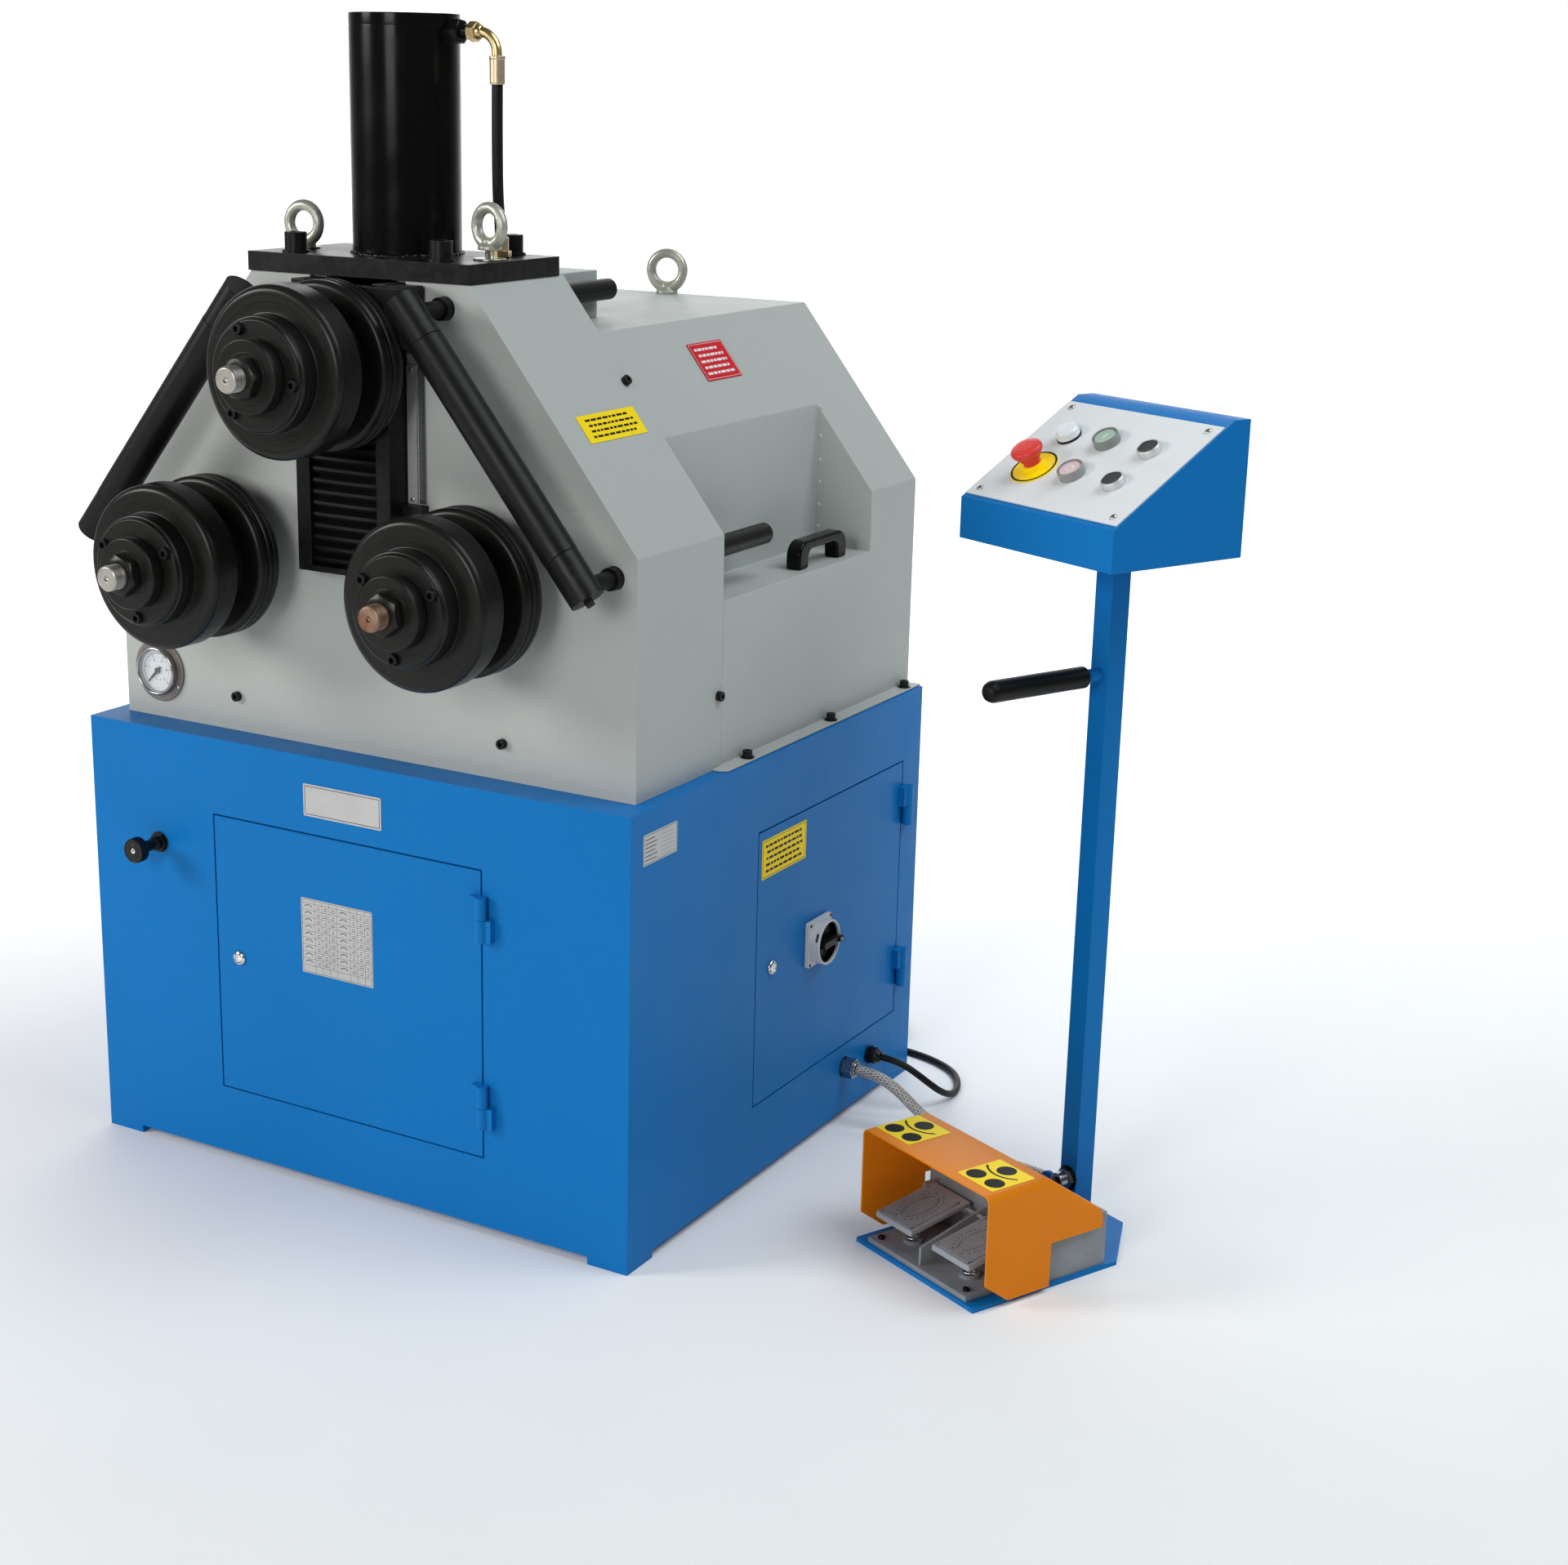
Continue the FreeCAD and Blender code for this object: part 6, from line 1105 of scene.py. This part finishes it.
# ------------------------------------------------------------------ rolls
for key, x, z, body, phase in (("lower_right", 201, 848, BODY["lower_right_roll"], 26), ("lower_left", -201, 848, BODY["lower_left_roll"], 30), ("upper", 0, 1104.7, BODY["upper_roll"], -7)):
    o = P(x, 0, z)
    m = Matrix.Translation(o)
    refine_at(key + "_shaft", [m_rusty if key == "lower_right" else m_bright, m_iron], o, width=0.4, seg=2, paint_faces=lambda f: 1 if f.calc_center_median().y > 0.28 else 0)
    th = [(0, -191.4), (4.2, -196.7), (5.4, -197.6), (13.2, -197.6), (14.2, -197.3), (15.6, -195.9)]
    yy = -196.0
    while yy < -180.4:
        th += [(15.75, yy), (15.75, yy + 0.9), (15.2, yy + 1.35), (15.2, yy + 1.55)]
        yy += 2.0
    th += [(15.7, -180.0), (15.7, -177.6), (0, -177.6)]
    piece(key + "_shaft_thread", lathe_mesh(th, 96), m_rusty if key == "lower_right" else m_bright, body, place=m)
    arc = [(104 - 9 + 9 * math.sin(math.radians(a)), -117.0 + 9 - 9 * math.cos(math.radians(a))) for a in range(0, 91, 6)]
    fd = lathe_mesh([(25.1, -131.6), (69.4, -131.6), (70.0, -131.0), (70.0, -119.2), (70.5, -117.6), (72.0, -117.0)] + arc + [(104.05, -100), (104.4, -78.4), (104.0, -77.2), (102.8, -76.3), (101.5, -76.0), (25.1, -76.0)], 192, close=True)
    piece(key + "_front_disc", fd, m_roll, body, key + "_roll", m, sharp=28)
    piece(key + "_spacer", lathe_mesh([(25.1, -75.9), (73.0, -75.9), (74.0, -75.0), (74.0, -32.3), (73.0, -31.4), (25.1, -31.4)], 128, close=True), m_roll, body, key + "_roll", m)
    rd = [(25.1, -31.3), (95.5, -31.3)] + [(95.5 + 8.5 * math.sin(math.radians(a)), -31.3 + 7.5 - 7.5 * math.cos(math.radians(a))) for a in range(9, 91, 9)] + [(104.0, -20.4), (103.4, -19.3), (101.0, -17.9), (100.9, -16.0), (103.4, -14.6), (104.0, -13.6), (104.0, -9.8), (103.4, -8.7), (101.0, -7.4),
          (100.9, -5.7), (103.3, -4.3), (104.0, -3.3), (104.0, 1.4), (103.3, 3.0), (101.3, 4.3), (25.1, 4.4)]
    piece(key + "_rear_disc", lathe_mesh(rd, 192, close=True), m_roll, body, key + "_roll", m, sharp=28)
    nut = boolean(hex_nut(46, 14.5, 3.0), lathe_mesh([(0, -1), (15.55, -1), (15.55, 20), (0, 20)], 48))
    piece(key + "_nut", nut, m_roll, body, key + "_clamp", m @ Matrix.Translation((0, -0.178, 0)) @ Matrix.Rotation(math.radians(-(phase + 12)), 4, "Y"))
    piece(key + "_washer", lathe_mesh(rounded([(15.7, -163.5, 0), (29, -163.5, 0.4), (29.4, -163.3, 0.2), (15.7, -163.3, 0)]), 96, close=True), m_roll, body, key + "_clamp", m)
    hub = lathe_mesh(rounded([(15.7, -163.3, 0), (43.6, -163.3, 1.2), (45.0, -161.6, 0.8), (45.0, -147.0, 0.6), (44.0, -146.4, 0.3), (41.2, -146.4, 0.4), (41.0, -145.05, 0.2), (15.7, -145.05, 0)]), 160, close=True)
    hole = lathe_mesh([(0, 0), (2.1, 0), (2.1, 30), (0, 30)], 20)
    hole.transform(Matrix.Rotation(math.radians(-70 - phase), 4, "Y") @ toward(Vector((0.030, -0.154, 0)), (1, 0, 0)))
    piece(key + "_hub", boolean(hub, hole), m_roll, body, key + "_clamp", m)
    fl = lathe_mesh(rounded([(25.1, -145.0, 0), (64.6, -145.0, 1.0), (66.4, -143.6, 1.2), (67.4, -140.2, 0.6), (69.0, -139.8, 0.5), (70.0, -138.8, 0.5), (70.0, -131.8, 0), (25.1, -131.8, 0)]), 160, close=True)
    for k in range(3):
        a = math.radians(phase + 120 * k)
        c = lathe_mesh([(0, -150), (7.7, -150), (7.7, -138.0), (0, -138.0)], 40)
        c.transform(Matrix.Translation((0.058 * math.cos(a), 0, 0.058 * math.sin(a))))
        fl = boolean(fl, c)
    piece(key + "_flange", fl, m_roll, body, key + "_clamp", m)
    for k in range(3):
        a = math.radians(phase + 120 * k)
        screw(key + "_clamp", body, P(x + 58 * math.cos(a), -138.0, z + 58 * math.sin(a)), (0, -1, 0), 6.9, 12.8, 7, 5.0, mat=m_oxide, turn=20 * k)
refine_at("drive_pinion", m_frame, P(0, 0, 848), width=0.3)
refined("drive_gearmotor", m_iron, 1.0, 2)
refined("power_pack", m_iron, 1.0, 2)
for k in ("right", "left"):
    refined(k + "_guide_frame", m_oxide, 1.1, 3)
    refined(k + "_guide_sleeve", m_oxide, 1.1, 3)

# ------------------------------------------------------------------ stand and console
refined("stand_frame", m_blue, 1.1, 3)
gr = lathe_mesh(rounded([(9.2, 0, 0), (13.4, 0, 1.0), (14.0, 1.5, 0.6), (14.0, 2.0, 0)]) + [(14.0 - 0.15 * (i % 2), 4.0 + i * 1.0) for i in range(0, 140, 35)] + rounded([(14.0, 144.0, 0), (14.0, 150.0, 4.0), (11.0, 157.0, 4.0), (6.0, 160.0, 2.0), (0, 160.6, 0)], 2, 5), 80)
piece("grip", gr, m_rubber, "machine", "grab_grip", STM @ toward(Vector((0, -0.041, 0.738)), (0, -1, 0)))
refined("console_box", m_blue, 1.5, 3)
refined("console_panel", m_white, 0.3, 2)
NZ = lambda u, w, n=0.0: PM @ Matrix.Translation((u * 0.001, w * 0.001, n * 0.001)) @ RZ
COLS = {"lamp": (-72, 138), "start": (-5, 140), "up": (71, 137), "stop": (-4, 74), "down": (70, 72), "estop": (-72, 73)}
for k in ("up", "down"):
    u, w = COLS[k]
    bz = lathe_mesh(rounded([(10.9, 2.1, 0), (15.0, 2.1, 0), (14.9, 4.0, 0.4), (14.5, 11.2, 0.8), (13.9, 12.1, 0.4), (12.7, 12.1, 0.3), (12.5, 11.6, 0.2), (12.5, 4.2, 0), (10.9, 4.2, 0)]), 96, close=True)
    piece(k + "_bezel", bz, m_alu, "machine", "panel_fittings", NZ(u, w))
    cp = lathe_mesh(rounded([(0, -9.9), (10.5, -9.9, 0), (10.5, 7.5, 0), (12.2, 7.5, 0), (12.2, 11.0, 0.8), (11.2, 11.9, 0.6), (10.2, 11.6, 0.4), (0, 11.5)]), 72)
    piece(k + "_cap", cp, m_cap, BODY[k + "_button"], k + "_button", NZ(u, w))
for k, mat, mat2 in (("start", m_greengrey, m_green), ("stop", m_warmgrey, m_pink)):
    u, w = COLS[k]
    bz = lathe_mesh(rounded([(14.6, 4.0, 0), (14.6, 13.4, 0.4), (15.2, 14.3, 0.5), (16.2, 14.3, 0.8), (17.0, 12.8, 0.8), (17.0, 2.1, 0), (10.9, 2.1, 0), (10.9, 4.0, 0)]), 96, close=True)
    piece(k + "_shroud", bz, mat, "machine", "panel_fittings", NZ(u, w))
    cp = lathe_mesh(rounded([(0, -9.9), (10.5, -9.9, 0), (10.5, 8.6, 0), (14.1, 8.6, 0), (14.1, 12.2, 1.0), (12.8, 12.9, 0.6), (11.8, 12.3, 0.4), (0, 12.1)]), 72)
    piece(k + "_cap", cp, mat2, BODY[k + "_button"], k + "_button", NZ(u, w))
    if k == "start":
        sy = prism_bm([(-0.7, -5), (0.7, -5), (0.7, 5), (-0.7, 5)], 12.15, 12.35, "xy")
    else:
        sy = prism_bm(arc_pts(0, 0, 5.6, 0, 360, 40)[:-1], 12.15, 12.35, "xy")
        sy = boolean(sy, prism_bm(arc_pts(0, 0, 4.2, 0, 360, 40)[:-1], 12.0, 12.6, "xy"))
    piece(k + "_symbol", sy, m_whiteink, BODY[k + "_button"], place=PM @ Matrix.Translation((u * 0.001, w * 0.001, 0)))
u, w = COLS["lamp"]
piece("lamp_ring", lathe_mesh(rounded([(10.9, -7.8, 0), (10.9, 2.1, 0), (16.2, 2.1, 0), (16.2, 4.4, 0.6), (15.2, 5.1, 0.4), (9.0, 5.1, 0), (9.0, -7.8, 0)]), 96, close=True), m_plastic, "machine", "panel_fittings", NZ(u, w))
piece("lamp_lens", lathe_mesh(rounded([(0, 5.0), (15.3, 5.0, 0), (15.0, 13.2, 1.6), (12.6, 15.6, 1.2), (0, 15.9)], 1.0, 5), 96), m_lamp, "machine", "panel_fittings", NZ(u, w))
u, w = COLS["estop"]
piece("estop_plate", lathe_mesh(rounded([(11, 2.1, 0), (31, 2.1, 0), (31, 3.5, 0.4), (30.6, 3.7, 0.2), (11, 3.7, 0)]), 120, close=True), m_yellow, "machine", "panel_fittings", NZ(u, w))
piece("estop_plate_ring", lathe_mesh([(27.9, 3.66), (30.6, 3.66), (30.6, 3.8), (27.9, 3.8)], 120, close=True), m_ink, "machine", place=NZ(u, w))
piece("estop_neck", lathe_mesh(rounded([(10.9, 3.6, 0), (15.4, 3.6, 0), (14.8, 8.0, 0.8), (14.0, 9.8, 0.6), (10.9, 9.8, 0)]), 96, close=True), m_yellow, "machine", "panel_fittings", NZ(u, w))
es = lathe_mesh(rounded([(0, -9.9), (10.4, -9.9, 0), (10.4, 16.2, 0), (13.2, 16.2, 0.6), (13.8, 21.5, 2.0), (18.6, 24.4, 1.6), (20.4, 27.2, 2.0), (20.4, 31.0, 2.0), (18.6, 33.8, 2.0), (12.0, 35.4, 2.0), (0, 35.7)], 1.0, 6), 128)
piece("estop_mushroom", es, m_red, BODY["estop_button"], "estop_button", NZ(u, w))
for a0 in (0, 120, 240):
    tri = prism_bm(arc_pts(0, 0, 15.2, a0, a0 + 62, 10) + arc_pts(0, 0, 13.6, a0 + 62, a0, 10), 34.55, 34.95, "xy")
    piece("estop_arrow_%d" % a0, tri, m_red, BODY["estop_button"], place=PM @ Matrix.Translation((u * 0.001, w * 0.001, 0)))
for i, (u, w) in enumerate(((-119, 19.5), (119, 19.5), (-119, 191), (119, 191))):
    hdb = lathe_mesh(rounded([(0, 2.1), (4.6, 2.1, 0), (4.4, 3.4, 0.8), (2.6, 4.6, 1.0), (0, 4.9)], 0.8, 4), 40)
    cr = bmesh.new()
    raw_box(cr, -2.6, 2.6, 3.6, 6, -0.5, 0.5)
    hdb = boolean(hdb, cr)
    cr = bmesh.new()
    raw_box(cr, -0.5, 0.5, 3.6, 6, -2.6, 2.6)
    piece("panel_screw_%d" % i, boolean(hdb, cr), m_zinc, "machine", "panel_fittings", NZ(u, w) @ Matrix.Rotation(0.5 + i, 4, "Y"))

# ------------------------------------------------------------------ pedal
refined("pedal_base", m_castgrey, 1.2, 3)
refined("pedal_guard", m_orange, 0.8, 3)
R0 = 30.0
for nm, r0 in (("left", -62.0), ("right", 50.0)):
    body = BODY[nm + "_pedal"]
    m = STM @ Matrix.Translation((r0 * 0.001, -0.198, 0.058))
    tb = prism_bm([(-92, -16.5), (-92, -8.3), (-4, 8.7), (6, 8.7), (6, 1.5), (-6, 0.2)], 0, 72, "yz")
    bevel(tb, 0.0022, 4, 30)
    hubb = lathe_mesh([(3.1, 0), (6, 0), (6, 72), (3.1, 72)], 48, close=True)
    merge(tb, hubb, Matrix.Rotation(math.radians(-90), 4, "Z"))
    tilt = math.atan2(17, 88)
    RM = Matrix.Translation((0.036, -0.048, 0.0003)) @ Matrix.Rotation(tilt, 4, "X")
    # a dark sheet under the ribs and dark dashes on the rib tops along two ovals, all painted shade: they stand for the
    # shade between the ribs and in the oval cut line
    ov = bmesh.new()
    raw_box(ov, -31.0, 31.0, -40.6, 41.6, -0.3, 0.32)
    for i in range(25):
        y = -39.2 + i * 3.3
        hw_ = 31.0 - 3.0 * max(0.0, abs(y) / 41.0 - 0.8) / 0.2
        rb_ = bmesh.new()
        raw_box(rb_, -hw_, hw_, y - 1.0, y + 1.0, -0.6, 1.1)
        bevel(rb_, 0.0006, 2, 30)
        merge(tb, rb_, RM)
        for ax, ay in ((21.5, 36.0), (14.0, 29.0)):
            if abs(y) < ay:
                x_ = ax * math.sqrt(1.0 - (y / ay) ** 2)
                w_ = 1.0 + 1.3 * (abs(y) / ay) ** 4
                if ax > 20 and i % 2:
                    continue
                for s_ in (-1, 1):
                    raw_box(ov, s_ * x_ - w_, s_ * x_ + w_, y - 0.75, y + 0.75, 0.2, 1.14)
    piece(nm + "_tread", tb, m_tread, body, nm + "_pedal", m, sharp=40)
    piece(nm + "_tread_painted_shade", ov, m_tread_shade, body, place=m @ RM)
    # return spring between the base well and the tread
    sx = R0 + (-56 if nm == "left" else 56) - r0
    hl = []
    for i in range(0, 6 * 20 + 1):
        a = 2 * math.pi * i / 20
        t = i / 120.0
        zz = -48.5 + 33.0 * t if 0.1 < t < 0.9 else (-48.5 + 33.0 * (0.1 + (t - 0.1) * 0.5) if t <= 0.1 else -48.5 + 33.0 * (0.9 + (t - 0.9) * 0.5))
        hl.append(Vector((sx + 8.4 * math.cos(a), -58.0 + 8.4 * math.sin(a), zz)) * 0.001)
    sp = piece(nm + "_pedal_spring", tube_bm(hl, 0.00115, 12), m_chrome, "machine", place=m, sharp=70)
    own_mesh(sp)
for i, (u_, w_) in enumerate(((-54, -285), (114, -285), (-54, -200), (114, -200))):
    m = STM @ Vector((u_ * 0.001, w_ * 0.001, 0.013))
    screw("pedal_base", "machine", m, (0, 0, 1), 4.6, 3.6, 4, 2.2, mat=m_black, turn=30 * i)
# bending-direction pictograms on the guard
for k, (u0, w0) in enumerate(((-53, -240), (108, -240))):
    m = STM @ Matrix.Translation((u0 * 0.001, w0 * 0.001, 0.154))
    label("pictogram_%d" % k, m @ Matrix.Translation((0, 0, 0.00005)), 66, 70, m_yellow, "machine", None, 1.5, 0.3)
    dt = bmesh.new()
    for dx, dy in ((-17.2, -17.5), (-2.6, 19.3), (16.5, -16.8)):
        merge(dt, prism_bm(arc_pts(dx, dy, 12.8, 0, 360, 56)[:-1], 0.28, 0.42, "xy"))
    merge(dt, prism_bm(arc_pts(-3.7, 36.4, 37.4, -131.5, -39.1, 28) + arc_pts(-3.7, 36.4, 34.6, -39.1, -131.5, 28), 0.28, 0.56, "xy"))
    ae = math.radians(-39.1 if k == 0 else -131.5)
    ah = Matrix.Translation(Vector((-3.7 + 36 * math.cos(ae), 36.4 + 36 * math.sin(ae), 0)) * 0.001) @ Matrix.Rotation(ae + (0 if k == 0 else math.pi), 4, "Z")
    merge(dt, prism_bm([(-2.2, -4.0), (2.2, -4.0), (0, 4.5)], 0.28, 0.42, "xy"), ah)
    piece("pictogram_%d_ink" % k, dt, m_ink, "machine", place=m)

# ------------------------------------------------------------------ mains plug
PLM = toward(P(241, 852, 27.3), (-1, 0, 0))
pb_ = lathe_mesh(rounded([(0, 0.1), (7.6, 0.1, 0.5), (8.4, 5), (7.6, 6.5, 0.4), (9.0, 8.0, 0.4), (9.0, 12.0, 0.4), (8.4, 13.4, 0.4), (10.2, 15.0, 0.4), (10.2, 20.0, 0.4), (9.6, 21.4, 0.4), (11, 26, 1.0), (17.5, 32, 3.0), (22.6, 38, 2.0), (23, 42, 1.0), (23, 80, 1.0)], 0.6), 96)
piece("plug_body", pb_, m_plastic, "machine", "mains_plug", PLM)
piece("plug_skirt", lathe_mesh(rounded([(22.8, 79, 0), (23.4, 82, 1.0), (26.6, 86, 1.2), (27.0, 88, 0.6), (27.0, 121.0, 0.8), (24.4, 121.9, 0.5), (24.2, 97, 0), (0, 96.5, 0), (0, 79, 0)]), 96), m_red, "machine", "mains_plug", PLM)
rbm = bmesh.new()
for i in range(20):
    a = 2 * math.pi * i / 20
    raw_box(rbm, 22.6, 23.6, 44, 76, -1.2, 1.2, Matrix.Rotation(a, 4, "Y"))
bevel(rbm, 0.0003, 1)
piece("plug_grip_ribs", rbm, m_plastic, "machine", "mains_plug", PLM)
for k, a in enumerate((90, 162, 234, 306, 18)):
    a = math.radians(a)
    piece("plug_pin_%d" % k, lathe_mesh(rounded([(0, 94), (2.8, 94, 0), (2.8, 114.5, 0), (2.0, 117, 0.6), (0, 117)], 0.6), 28), m_yzinc, "machine", "mains_plug", PLM @ Matrix.Translation((0.015 * math.cos(a), 0, 0.015 * math.sin(a))))
